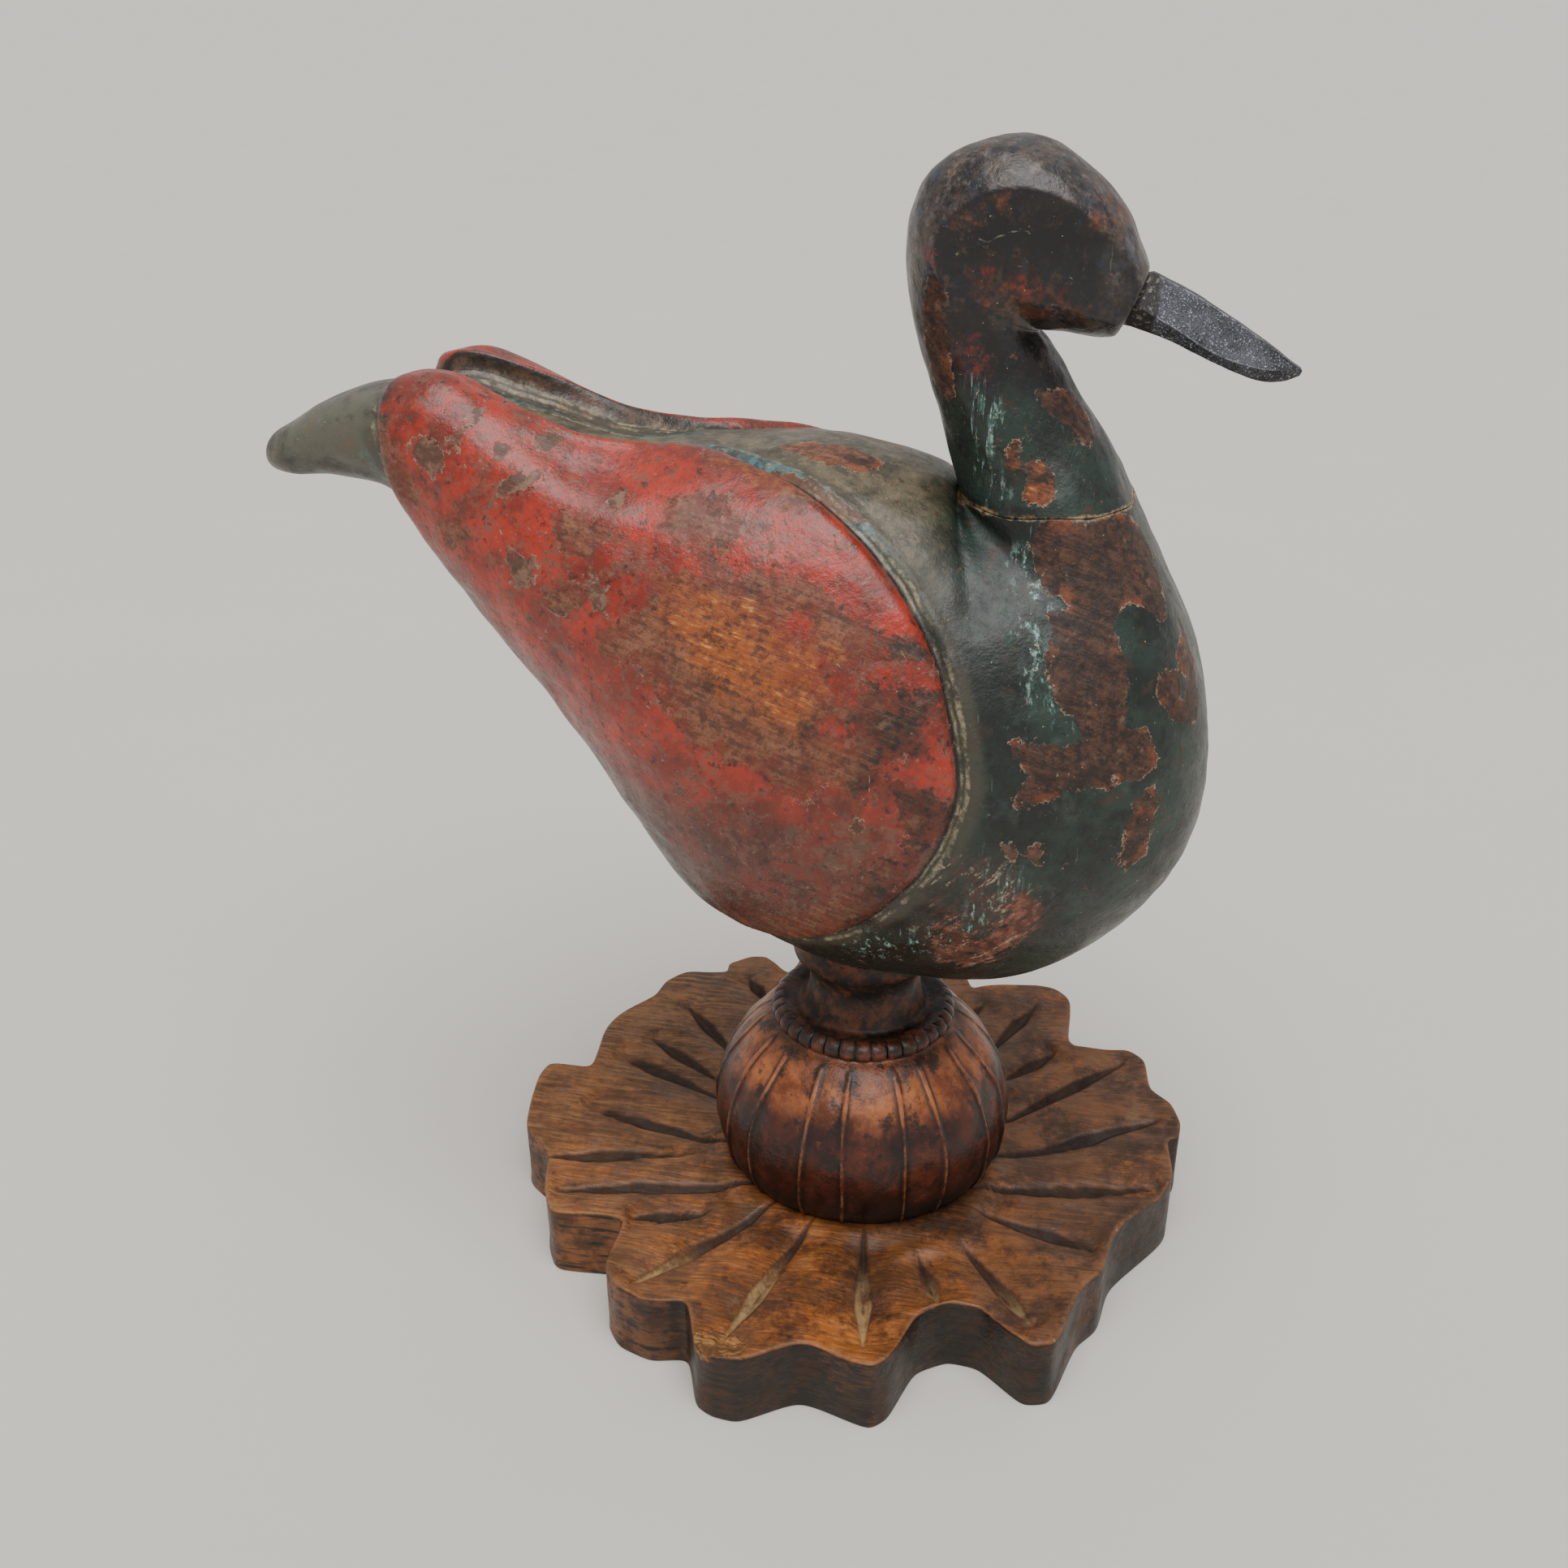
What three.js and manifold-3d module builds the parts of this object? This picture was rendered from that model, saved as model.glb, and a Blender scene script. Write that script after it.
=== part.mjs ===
// Carved and painted wooden duck on a ribbed ball and a base of uneven petals.
// Millimetres. The duck faces +X, its left side is +Y, and +Z is up.
// The origin is on the underside of the base, below the middle of the ball.
import * as THREE from "three";
import Module from "manifold-3d";

const wasm = await Module();
wasm.setup();

// Driving dimensions of the stand
const BASE_THICKNESS = 17;
const BASE_MIDDLE = [-1, 7];
const TOP_EDGE_WEAR = 0.8;
const BOTTOM_EDGE_WEAR = 0.4;
const PETAL_CORNER_TIGHTNESS = 2.5;
const CUT_DEPTH = 1.9;
const CUT_HALF_WIDTH = 2.3;
const BALL_RADIUS = 31.5;
const BALL_RIBS = 18;
const FIRST_RIB = 13;
const RIB_UNEVENNESS = 2;
const RIB_HALF_WIDTH = 2.4;
const RIB_HEIGHT = 0.9;
const PANEL_BULGE = 0.5;
const BEAD_DEPTH = 0.7;

// Driving dimensions of the duck
const GAP = 0.3;
const SHORTEST_EDGE = 0.12;
const WING_RELIEF = 2.2;
const WING_TIP_RELIEF = 5;
const WING_TIP_FROM_ROW = 9;
const WING_TIP_ROWS = 3.5;
const WING_SEAT = 2;
const HUMP_AT = 46;
const HUMP_SPREAD = 22;
const CHEEK_HALF_WIDTH = 13.2;
const CHEEK_TAPER = 0.1;
const CHEEK_TAPER_FROM_X = 22;
const CHEEK_FROM_Z = 191;

// Colours, roughness and metalness of the solids
const MATERIALS = {
  stainedWood: { color: 0x5d3d24, roughness: 0.55, metalness: 0 },
  redBrownWood: { color: 0x6a2f1c, roughness: 0.4, metalness: 0 },
  wornPaint: { color: 0x8c3a2c, roughness: 0.45, metalness: 0 },
  darkPaint: { color: 0x23302e, roughness: 0.4, metalness: 0 },
  greyMetal: { color: 0x45474b, roughness: 0.45, metalness: 0.8 },
};

// Corners of the petal outline, one line a petal: [degrees from +X, distance from the base's middle]
const PETALS = [
  [[174, 66.5], [175, 77.5], [179, 78], [193, 77]],
  [[199, 71], [210, 73.5], [216, 74]],
  [[224, 60.5], [232, 72], [237, 74], [243, 72.5]],
  [[248, 67.5], [254, 77], [257, 78], [261, 77.5]],
  [[269, 69], [280, 74.5], [283, 72]],
  [[289, 61], [296, 59.5], [301, 63], [304, 74.5], [308, 76.5]],
  [[319, 68], [325, 68]],
  [[335, 63.5], [353, 71]],
  [[5, 69], [6, 72], [10, 73.5], [15, 73]],
  [[20, 69.5], [29, 73.5], [33, 71.5]],
  [[39, 61], [42, 61.5], [52, 74.5], [57, 76]],
  [[68, 66], [71, 62], [77, 73.5], [85, 75.5]],
  [[94, 65], [99, 66], [104, 75], [110, 73]],
  [[116, 62], [119, 72.5], [122, 74], [127, 73.5]],
  [[129, 69.5], [136, 76], [141, 75.5]],
  [[146, 71.5], [154, 73.5], [160, 72.5]],
];

// V cuts in the top of the base: [degrees, distance] of the narrow end by the ball, then of the outer point
const CUTS = [
  [174, 36, 167, 62], [204, 33, 186, 62], [206, 44, 200, 71], [232, 34, 210, 69],
  [231, 47, 224, 59], [245, 38, 238, 69], [261, 41, 257, 71], [279.5, 41.5, 279, 67],
  [294, 47, 294, 58], [307, 49, 307.5, 69], [321, 42, 329, 62], [330, 36, 351, 66],
  [348, 33, 11, 67], [14, 35, 30, 67], [36, 40, 40, 55], [52, 46, 56, 65],
  [68, 40, 66, 58], [84, 38, 82, 68], [102, 40, 104, 67], [125, 54, 125, 65],
  [149, 41, 143, 62], [164, 39, 158, 59],
];

// Shape of a cut seen from above, from its inner end: [share of its length, share of its width and depth]
const CUT_PROFILE = [[0, 0.45], [0.6, 1], [1, 0.12]];

// Turned outline of the ball, its beaded ring and its waisted neck:
// [height above the base, radius, what is cut in it]
const BALL_OUTLINE = [
  [GAP, 28.4, "panels"], [3, 29.9, "panels"], [8, 31.2, "panels"], [14, BALL_RADIUS, "panels"],
  [20, 30.2, "panels"], [25.5, 27.5, "panels"], [30, 24, "panels"], [33.2, 20.8, "panels"],
  [34.4, 19, "plain"], [35.4, 19.6, "beads"], [37, 19.5, "beads"], [38.2, 18, "beads"],
  [38, 16, "plain"], [37.6, 13.6, "plain"], [41, 12, "plain"], [45, 11.7, "plain"],
  [48.4, 13, "plain"], [50.6, 15, "plain"], [56, 15.6, "plain"],
];

// Body, from the tail to the joint in the neck. Each row is a slice across the middle plane:
// [x, z of its upper edge, x, z of its lower edge, half width, squareness, place of the widest point, hump]
// Squareness is the power of the sine that swells the slice, the place runs from 0 above to 1 below,
// and the hump is how far the wing tops stand above the furrow between them.
const BODY = [
  [-120, 167.5, -120, 167.5, 0, 0.85, 0.5, 0],
  [-118.5, 171.5, -118.5, 165, 5.5, 0.8, 0.5, 0],
  [-114, 174.5, -113.5, 164, 9, 0.75, 0.5, 0],
  [-106.5, 178.5, -104.5, 164, 11.5, 0.68, 0.42, 0],
  [-95.5, 182, -94, 162.5, 13.5, 0.66, 0.38, 0],
  [-87, 183, -87, 156, 15, 0.68, 0.38, 2],
  [-78, 183, -78, 145, 17.5, 0.72, 0.36, 5],
  [-66.5, 179.5, -67, 129, 22, 0.8, 0.36, 4.6],
  [-52.5, 176, -53, 110, 28, 0.85, 0.38, 2.2],
  [-39, 174.5, -40.5, 92.5, 33, 0.85, 0.42, 0.8],
  [-25.5, 175, -28.5, 79.5, 36.5, 0.85, 0.46, 0.5],
  [-10.5, 175.5, -14.5, 72.5, 38.5, 0.85, 0.48, 0],
  [2, 174, 1, 69, 39, 0.88, 0.5, 0],
  [10, 171.5, 17.5, 68.5, 39, 0.9, 0.5, 0],
  [14, 169, 34, 71.5, 38.5, 0.92, 0.5, 0],
  [15, 168, 48, 80, 37, 0.95, 0.52, 0],
  [15, 168, 59.5, 95.5, 34.5, 0.98, 0.55, 0],
  [15.5, 167.5, 64, 113.5, 31, 1, 0.58, 0],
  [15.5, 167.5, 63, 130, 26.5, 1, 0.6, 0],
  [15.5, 167.5, 57.3, 147.5, 22, 1, 0.6, 0],
  [15.2, 167.5, 46.4, 168.2, 18, 1, 0.55, 0],
];

// Head and neck, from the joint to the face, in the same terms without humps
const HEAD = [
  [15.2, 167.5 + GAP, 46.2, 168.2 + GAP, 18, 1, 0.55, 0],
  [13.5, 173.5, 43.3, 173.5, 16, 1, 0.55, 0],
  [11.5, 180, 39.5, 179.5, 14.4, 1, 0.52, 0],
  [8.5, 189, 34.5, 187.5, 12.5, 1, 0.5, 0],
  [5.5, 197.5, 30, 194, 12.5, 1, 0.5, 0],
  [4.5, 205.5, 28, 196.2, 13, 1, 0.48, 0],
  [4.5, 213.5, 28, 196.6, 14.5, 0.95, 0.46, 0],
  [6.7, 220.5, 28.1, 196.6, 15.5, 0.92, 0.44, 0],
  [12.2, 225.7, 28.6, 196.5, 16, 0.9, 0.44, 0],
  [20, 228, 30, 196.4, 16.5, 0.9, 0.44, 0],
  [28, 226.8, 32.5, 196.2, 16, 0.9, 0.44, 0],
  [35, 222.6, 35.5, 196, 15, 0.9, 0.46, 0],
  [40.5, 216.5, 38, 195.9, 12.5, 0.9, 0.48, 0],
  [44, 210.5, 39.8, 196, 10.5, 0.9, 0.5, 0],
  [45.5, 207, 40.8, 196.4, 8.5, 0.9, 0.5, 0],
];

// Outline of the left wing on the body: [row of BODY, degrees down from the back]
const WING = [
  [4.8, 36], [5.2, 22], [6.2, 20], [7.1, 22], [7.8, 21], [8.5, 15], [9.2, 11], [9.8, 12],
  [10.3, 17], [10.8, 23], [11.3, 29], [11.8, 35], [12.4, 42], [13, 50], [13.5, 60], [13.7, 72],
  [13.7, 83], [13.4, 93], [13, 103], [12.4, 115], [11.8, 127], [11.1, 139], [10.4, 148],
  [9.6, 151], [8.6, 149], [7.6, 148], [6.8, 147], [6, 143], [5.4, 132], [5, 116], [4.75, 92],
  [4.65, 60],
];
const WING_MIDDLE = [9.3, 84];
const WING_POINTS = 44;

// A row of BODY counts as ten degrees where the wing's outline is drawn flat, which is about their real size
const DEGREES_PER_ROW = 10;

// Rings of the wing panel: shares of the way out from its middle, first those of its seat in the body,
// then from its outline inwards those of the panel, each with its share of the relief
const WING_SEAT_RINGS = [0.5, 0.92];
const WING_RINGS = [[1, 0], [0.988, 0.55], [0.96, 0.88], [0.9, 1], [0.74, 1], [0.5, 1], [0.25, 1]];

// Bill, from the face to the tip:
// [x, z of the ridge, x, z of the side edge, x, z of the underside, half width]
const BILL = [
  [45.8, 206.6, 44, 201.6, 42.6, 198.3, 6.2],
  [51.5, 204, 50, 198.4, 49, 196.2, 6],
  [58, 200.4, 57.2, 194.3, 57, 192.6, 5.4],
  [65.2, 196, 64.2, 192.2, 63.8, 190, 4.6],
  [69.2, 193.2, 68.6, 191.8, 68.2, 189.6, 3.4],
  [71.6, 191.6, 71.7, 191.3, 71.3, 190.4, 1.4],
];
const BILL_RIDGE_HALF_WIDTH = 1.3;
const BILL_RIDGE_MOST = 0.8;
const BILL_UNDERSIDE_SHARE = 0.75;

const radians = THREE.MathUtils.degToRad;

// A row between two rows of a table, on a smooth curve through all of them
function smoothRow(rows, place) {
  const last = rows.length - 1;
  const from = Math.min(Math.floor(place), last - 1);
  const part = place - from;
  const before = rows[Math.max(from - 1, 0)];
  const after = rows[Math.min(from + 2, last)];
  return rows[from].map((a, k) => {
    const b = rows[from + 1][k];
    const p = from > 0 ? before[k] : 2 * a - b;
    const n = from + 2 <= last ? after[k] : 2 * b - a;
    const bend = (2 * p - 5 * a + 4 * b - n) * part ** 2;
    return 0.5 * (2 * a + (b - p) * part + bend + (3 * a - p - 3 * b + n) * part ** 3);
  });
}

// A point of a slice: the angle runs from 0 at its upper edge to 180 degrees at its lower edge
function slicePoint(row, degrees, side) {
  const [topX, topZ, lowX, lowZ, halfWidth, squareness, widest, hump] = row;
  const angle = radians(degrees);
  const power = Math.log(1 - widest) / Math.log(0.5);
  const down = 1 - ((1 + Math.cos(angle)) / 2) ** power;
  const out = halfWidth * Math.max(Math.sin(angle), 0) ** squareness;
  const rise = hump * Math.exp(-(((degrees - HUMP_AT) / HUMP_SPREAD) ** 2));
  const x = topX + (lowX - topX) * down;
  const z = topZ + (lowZ - topZ) * down + rise;
  return new THREE.Vector3(x, side * out, z);
}

// A closed ring round a slice, up one side and down the other
function sliceRing(row, steps, shape = (point) => point) {
  const ring = [];
  for (let k = 0; k < 2 * steps; k += 1) {
    const side = k <= steps ? 1 : -1;
    const degrees = (side > 0 ? k : 2 * steps - k) * 180 / steps;
    ring.push(shape(slicePoint(row, degrees, side)));
  }
  return ring;
}

function middleOf(ring) {
  return ring.reduce((sum, p) => sum.add(p), new THREE.Vector3()).divideScalar(ring.length);
}

// One closed body from rings of points. A ring of one point closes an end, and any other end gets a flat cap.
function ringBody(rings) {
  const points = [];
  const faces = [];
  const capped = rings.slice();
  if (capped[0].length > 1) capped.unshift([middleOf(capped[0])]);
  if (capped.at(-1).length > 1) capped.push([middleOf(capped.at(-1))]);
  const starts = capped.map((ring) => {
    const start = points.length;
    points.push(...ring);
    return start;
  });
  for (let r = 0; r + 1 < capped.length; r += 1) {
    const inner = capped[r].length;
    const outer = capped[r + 1].length;
    const count = Math.max(inner, outer);
    for (let k = 0; k < count; k += 1) {
      const next = (k + 1) % count;
      const a = starts[r] + (inner > 1 ? k : 0);
      const b = starts[r] + (inner > 1 ? next : 0);
      const c = starts[r + 1] + (outer > 1 ? next : 0);
      const d = starts[r + 1] + (outer > 1 ? k : 0);
      if (inner > 1) faces.push([a, b, c]);
      if (outer > 1) faces.push([a, c, d]);
    }
  }
  return { points, faces: facesOut(points, faces) };
}

// The same faces, turned over where the volume they close comes out negative
function facesOut(points, faces) {
  let volume = 0;
  for (const [a, b, c] of faces) {
    volume += points[a].dot(new THREE.Vector3().crossVectors(points[b], points[c]));
  }
  return volume < 0 ? faces.map(([a, b, c]) => [a, c, b]) : faces;
}

function toSolid({ points, faces }) {
  const mesh = new wasm.Mesh({
    numProp: 3,
    vertProperties: new Float32Array(points.flatMap((p) => p.toArray())),
    triVerts: new Uint32Array(faces.flat()),
  });
  return new wasm.Manifold(mesh);
}

// Points joined by an edge too short to matter become one point, and the faces that vanish are dropped
function withoutShortEdges(points, faces) {
  const same = points.map((_, k) => k);
  const first = (k) => {
    while (same[k] !== k) k = same[k];
    return k;
  };
  for (const face of faces) {
    face.forEach((a, k) => {
      const b = face[(k + 1) % 3];
      const ends = [first(a), first(b)];
      if (points[a].distanceTo(points[b]) < SHORTEST_EDGE) same[Math.max(...ends)] = Math.min(...ends);
    });
  }
  const joined = faces.map((face) => face.map(first));
  return joined.filter(([a, b, c]) => a !== b && b !== c && c !== a);
}

function toGeometry(solid) {
  const { vertProperties, triVerts } = solid.getMesh();
  const points = [];
  for (let k = 0; k < vertProperties.length; k += 3) {
    points.push(new THREE.Vector3().fromArray(vertProperties, k));
  }
  const faces = [];
  for (let k = 0; k < triVerts.length; k += 3) {
    faces.push([...triVerts.slice(k, k + 3)]);
  }
  const geometry = new THREE.BufferGeometry();
  geometry.setAttribute("position", new THREE.BufferAttribute(new Float32Array(vertProperties), 3));
  geometry.setIndex(withoutShortEdges(points, faces).flat());
  geometry.computeVertexNormals();
  return geometry;
}

function named(name, solid, material) {
  const mesh = new THREE.Mesh(toGeometry(solid), new THREE.MeshStandardMaterial(MATERIALS[material]));
  mesh.name = name;
  return mesh;
}

function polar(degrees, distance, z = 0) {
  const angle = radians(degrees);
  const x = BASE_MIDDLE[0] + distance * Math.cos(angle);
  const y = BASE_MIDDLE[1] + distance * Math.sin(angle);
  return new THREE.Vector3(x, y, z);
}

// Petal outline: each corner is rounded by a conic between the middles of its two sides
function petalOutline() {
  const corners = PETALS.flat().map(([degrees, distance]) => polar(degrees, distance));
  const outline = [];
  corners.forEach((corner, k) => {
    const before = corners[(k + corners.length - 1) % corners.length];
    const after = corners[(k + 1) % corners.length];
    const start = before.clone().add(corner).multiplyScalar(0.5);
    const end = after.clone().add(corner).multiplyScalar(0.5);
    for (const t of [0.25, 0.75]) {
      const weights = [(1 - t) ** 2, 2 * PETAL_CORNER_TIGHTNESS * t * (1 - t), t ** 2];
      const sum = weights[0] + weights[1] + weights[2];
      const point = start.clone().multiplyScalar(weights[0] / sum);
      point.addScaledVector(corner, weights[1] / sum).addScaledVector(end, weights[2] / sum);
      outline.push(point);
    }
  });
  return outline;
}

function outlineAt(outline, z, inset) {
  const middle = new THREE.Vector3(BASE_MIDDLE[0], BASE_MIDDLE[1], 0);
  return outline.map((point) => {
    const out = point.clone().sub(middle);
    out.setLength(out.length() - inset);
    return out.add(middle).setZ(z);
  });
}

// One V cut: a wedge that swells from the ball outwards and then runs out to a point
function cutWedge([innerDegrees, innerDistance, outerDegrees, outerDistance]) {
  const inner = polar(innerDegrees, innerDistance);
  const outer = polar(outerDegrees, outerDistance);
  const along = outer.clone().sub(inner).normalize();
  const across = new THREE.Vector3(-along.y, along.x, 0);
  const above = 1;
  const sections = CUT_PROFILE.map(([run, share]) => {
    const spot = inner.clone().lerp(outer, run);
    const halfWidth = CUT_HALF_WIDTH * share * (CUT_DEPTH + above) / CUT_DEPTH;
    const left = spot.clone().addScaledVector(across, halfWidth).setZ(BASE_THICKNESS + above * share);
    const right = spot.clone().addScaledVector(across, -halfWidth).setZ(BASE_THICKNESS + above * share);
    const bottom = spot.clone().setZ(BASE_THICKNESS - CUT_DEPTH * share);
    return [left, right, bottom];
  });
  return toSolid(ringBody(sections));
}

function lotusBase() {
  const outline = petalOutline();
  const slab = ringBody([
    outlineAt(outline, 0, BOTTOM_EDGE_WEAR),
    outlineAt(outline, BOTTOM_EDGE_WEAR, 0),
    outlineAt(outline, BASE_THICKNESS - TOP_EDGE_WEAR, 0),
    outlineAt(outline, BASE_THICKNESS, TOP_EDGE_WEAR),
  ]);
  let solid = toSolid(slab);
  for (const cut of CUTS) solid = solid.subtract(cutWedge(cut));
  return named("lotus_base", solid, "stainedWood");
}

// The ball's columns: [degrees, share of a rib, share of a panel's bulge, share of a bead], four for each rib
function ballColumns() {
  const ribAt = (rib) => FIRST_RIB + 360 * rib / BALL_RIBS + (rib % 2 ? -RIB_UNEVENNESS : RIB_UNEVENNESS);
  const columns = [];
  for (let rib = 0; rib < BALL_RIBS; rib += 1) {
    const here = ribAt(rib);
    columns.push([here - RIB_HALF_WIDTH, 0, 0, 0], [here, 1, 0, 1], [here + RIB_HALF_WIDTH, 0, 0, 0]);
    columns.push([(here + ribAt(rib + 1)) / 2, 0, 1, 1]);
  }
  return columns;
}

function carvedRadius(radius, kind, [, rib, bulge, bead]) {
  if (kind === "panels") return radius + (radius / BALL_RADIUS) * (rib * RIB_HEIGHT + bulge * PANEL_BULGE);
  if (kind === "beads") return radius - (1 - bead) * BEAD_DEPTH;
  return radius;
}

function ribbedBall(body) {
  const columns = ballColumns();
  const rings = BALL_OUTLINE.map(([height, radius, kind]) => columns.map((column) => {
    const r = carvedRadius(radius, kind, column);
    const angle = radians(column[0]);
    return new THREE.Vector3(r * Math.cos(angle), r * Math.sin(angle), BASE_THICKNESS + height);
  }));
  const underBody = body.translate([0, 0, -GAP]);
  return named("ribbed_ball", toSolid(ringBody(rings)).subtract(underBody), "redBrownWood");
}

function wingRelief(place) {
  const nearTip = THREE.MathUtils.smoothstep(WING_TIP_FROM_ROW - place, 0, WING_TIP_ROWS);
  return WING_RELIEF + (WING_TIP_RELIEF - WING_RELIEF) * nearTip;
}

// A point at a height above the body's smooth surface
function abovePoint(place, degrees, side, height) {
  const at = (p, d) => slicePoint(smoothRow(BODY, p), d, side);
  const step = 0.02;
  const alongBody = at(place + step, degrees).sub(at(place - step, degrees));
  const roundBody = at(place, degrees + 1).sub(at(place, degrees - 1));
  const normal = alongBody.cross(roundBody).normalize().multiplyScalar(side);
  return at(place, degrees).addScaledVector(normal, height);
}

// One wing: a panel over the body with a stepped edge, its underside sunk into the body
function wing(side) {
  const flat = ([place, degrees]) => new THREE.Vector3(place * DEGREES_PER_ROW, degrees, 0);
  const corners = WING.map(flat);
  const outline = new THREE.CatmullRomCurve3(corners, true, "centripetal").getSpacedPoints(WING_POINTS);
  outline.pop();
  const middle = flat(WING_MIDDLE);
  const ring = (share, height) => outline.map((corner) => {
    const spot = middle.clone().lerp(corner, share);
    const place = spot.x / DEGREES_PER_ROW;
    return abovePoint(place, spot.y, side, height(place));
  });
  const sunk = () => -WING_SEAT;
  const rings = [[abovePoint(...WING_MIDDLE, side, -WING_SEAT)]];
  for (const share of WING_SEAT_RINGS) rings.push(ring(share, sunk));
  for (const [share, rise] of WING_RINGS) {
    rings.push(ring(share, (place) => wingRelief(place) * rise));
  }
  rings.push([abovePoint(...WING_MIDDLE, side, WING_RELIEF)]);
  return toSolid(ringBody(rings));
}

function duckBody() {
  const stations = 44;
  const steps = 16;
  const rings = [];
  for (let k = 0; k <= stations; k += 1) {
    const place = (BODY.length - 1) * k / stations;
    rings.push(k === 0 ? [slicePoint(BODY[0], 0, 1)] : sliceRing(smoothRow(BODY, place), steps));
  }
  return toSolid(ringBody(rings)).add(wing(1)).add(wing(-1));
}

// Flat cheeks: the sides of the head are sliced off at a width that narrows towards the face
function cheek(point) {
  if (point.z < CHEEK_FROM_Z) return point;
  const limit = CHEEK_HALF_WIDTH - CHEEK_TAPER * Math.max(point.x - CHEEK_TAPER_FROM_X, 0);
  return point.setY(THREE.MathUtils.clamp(point.y, -limit, limit));
}

function headAndNeck() {
  const stations = 26;
  const steps = 14;
  const rings = [];
  for (let k = 0; k <= stations; k += 1) {
    const place = (HEAD.length - 1) * k / stations;
    rings.push(sliceRing(smoothRow(HEAD, place), steps, cheek));
  }
  return named("head_and_neck", toSolid(ringBody(rings)), "darkPaint");
}

function bill() {
  const rings = BILL.map(([ridgeX, ridgeZ, edgeX, edgeZ, lowX, lowZ, halfWidth]) => {
    const ridge = Math.min(BILL_RIDGE_HALF_WIDTH, halfWidth * BILL_RIDGE_MOST);
    const low = halfWidth * BILL_UNDERSIDE_SHARE;
    return [
      new THREE.Vector3(ridgeX + GAP, ridge, ridgeZ), new THREE.Vector3(edgeX + GAP, halfWidth, edgeZ),
      new THREE.Vector3(lowX + GAP, low, lowZ), new THREE.Vector3(lowX + GAP, -low, lowZ),
      new THREE.Vector3(edgeX + GAP, -halfWidth, edgeZ), new THREE.Vector3(ridgeX + GAP, -ridge, ridgeZ),
    ];
  });
  return named("bill", toSolid(ringBody(rings)), "greyMetal");
}

const body = duckBody();
const duck = new THREE.Group();
duck.name = "carved_duck";
duck.add(lotusBase(), ribbedBall(body), named("duck_body", body, "wornPaint"), headAndNeck(), bill());

export default duck;
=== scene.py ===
# %% [markdown]
# # A carved and painted duck on a ribbed ball
#
# The real thing is a folk carving in five pieces of wood and metal: a sawn base with sixteen petals, a ribbed
# ball with a beaded ring and a short neck, the duck's body, its head with the upper neck, and a grey bill.
# Old oil paint lies over brown wood, and years of hands have rubbed and chipped it.
# Each surface here is a formula on a grid of points, and each finish is a stack of layers, as on the carving.
# Lengths are in millimetres until a mesh is made. The duck faces +X, its left side is +Y, and +Z is up.

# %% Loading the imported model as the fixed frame
import math
import bpy
import numpy as np
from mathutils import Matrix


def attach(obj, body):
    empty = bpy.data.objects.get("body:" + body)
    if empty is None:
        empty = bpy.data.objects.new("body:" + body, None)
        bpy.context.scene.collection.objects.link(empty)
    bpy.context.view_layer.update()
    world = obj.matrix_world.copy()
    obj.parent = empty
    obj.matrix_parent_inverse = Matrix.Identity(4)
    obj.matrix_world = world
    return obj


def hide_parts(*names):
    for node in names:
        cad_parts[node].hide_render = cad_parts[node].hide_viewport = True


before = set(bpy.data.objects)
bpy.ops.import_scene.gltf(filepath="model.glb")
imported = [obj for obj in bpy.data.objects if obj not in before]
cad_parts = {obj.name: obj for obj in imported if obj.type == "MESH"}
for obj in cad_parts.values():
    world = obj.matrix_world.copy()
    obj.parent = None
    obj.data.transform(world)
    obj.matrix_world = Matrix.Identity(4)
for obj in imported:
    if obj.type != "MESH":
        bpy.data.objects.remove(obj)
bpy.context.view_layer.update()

MM = 0.001
scene = bpy.context.scene
print("nodes:", sorted(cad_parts))

# %% [markdown]
# ## Curves and unevenness that every piece shares
#
# A carver's shapes run smoothly through a few chosen sections. A Catmull-Rom curve does the same: it passes
# through every given row and keeps its slope there. A hand-cut surface is never quite even, so a few long
# sine waves in random directions push it in and out by tenths of a millimetre.

# %% Smooth rows, closed curves and gentle waves
def smooth_rows(table, places):
    """Rows between the rows of a table: half of (2a + (b - p) t + (2p - 5a + 4b - n) t^2 + (3a - p - 3b + n) t^3),
    where a and b are the rows on both sides, p and n the rows before and after them, and t the share of the way."""
    table = np.asarray(table, float)
    last = len(table) - 1
    low = np.clip(np.floor(places).astype(int), 0, last - 1)
    t = (places - low)[..., None]
    a, b = table[low], table[low + 1]
    p = np.where((low > 0)[..., None], table[np.maximum(low - 1, 0)], 2 * a - b)
    n = np.where((low + 2 <= last)[..., None], table[np.minimum(low + 2, last)], 2 * b - a)
    return 0.5 * (2 * a + (b - p) * t + (2 * p - 5 * a + 4 * b - n) * t**2 + (3 * a - p - 3 * b + n) * t**3)


def closed_curve(corners, steps):
    """A closed smooth curve through corners: the table of smooth_rows with its ends wrapped round."""
    corners = np.asarray(corners, float)
    wrapped = np.concatenate([corners[-2:], corners, corners[:3]])
    places = 2 + np.arange(len(corners) * steps) / steps
    return smooth_rows(wrapped, places)


def waves(points, length, seed, count=12):
    """Unevenness of about -1 to 1: a sum of sine waves of the point's place along random directions,
    with lengths spread about the given one, divided by the square root of half their number."""
    rng = np.random.default_rng(seed)
    directions = rng.normal(size=(count, 3))
    directions /= np.linalg.norm(directions, axis=1)[:, None] * length * rng.uniform(0.6, 1.5, count)[:, None]
    return np.sin(2 * np.pi * points @ directions.T + rng.uniform(0, 6.28, count)).sum(-1) / math.sqrt(count / 2)


def smoothstep(value, low, high):
    """0 below low, 1 above high, and 3t^2 - 2t^3 of the share t between them."""
    t = np.clip((value - low) / (high - low), 0, 1)
    return t * t * (3 - 2 * t)


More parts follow.
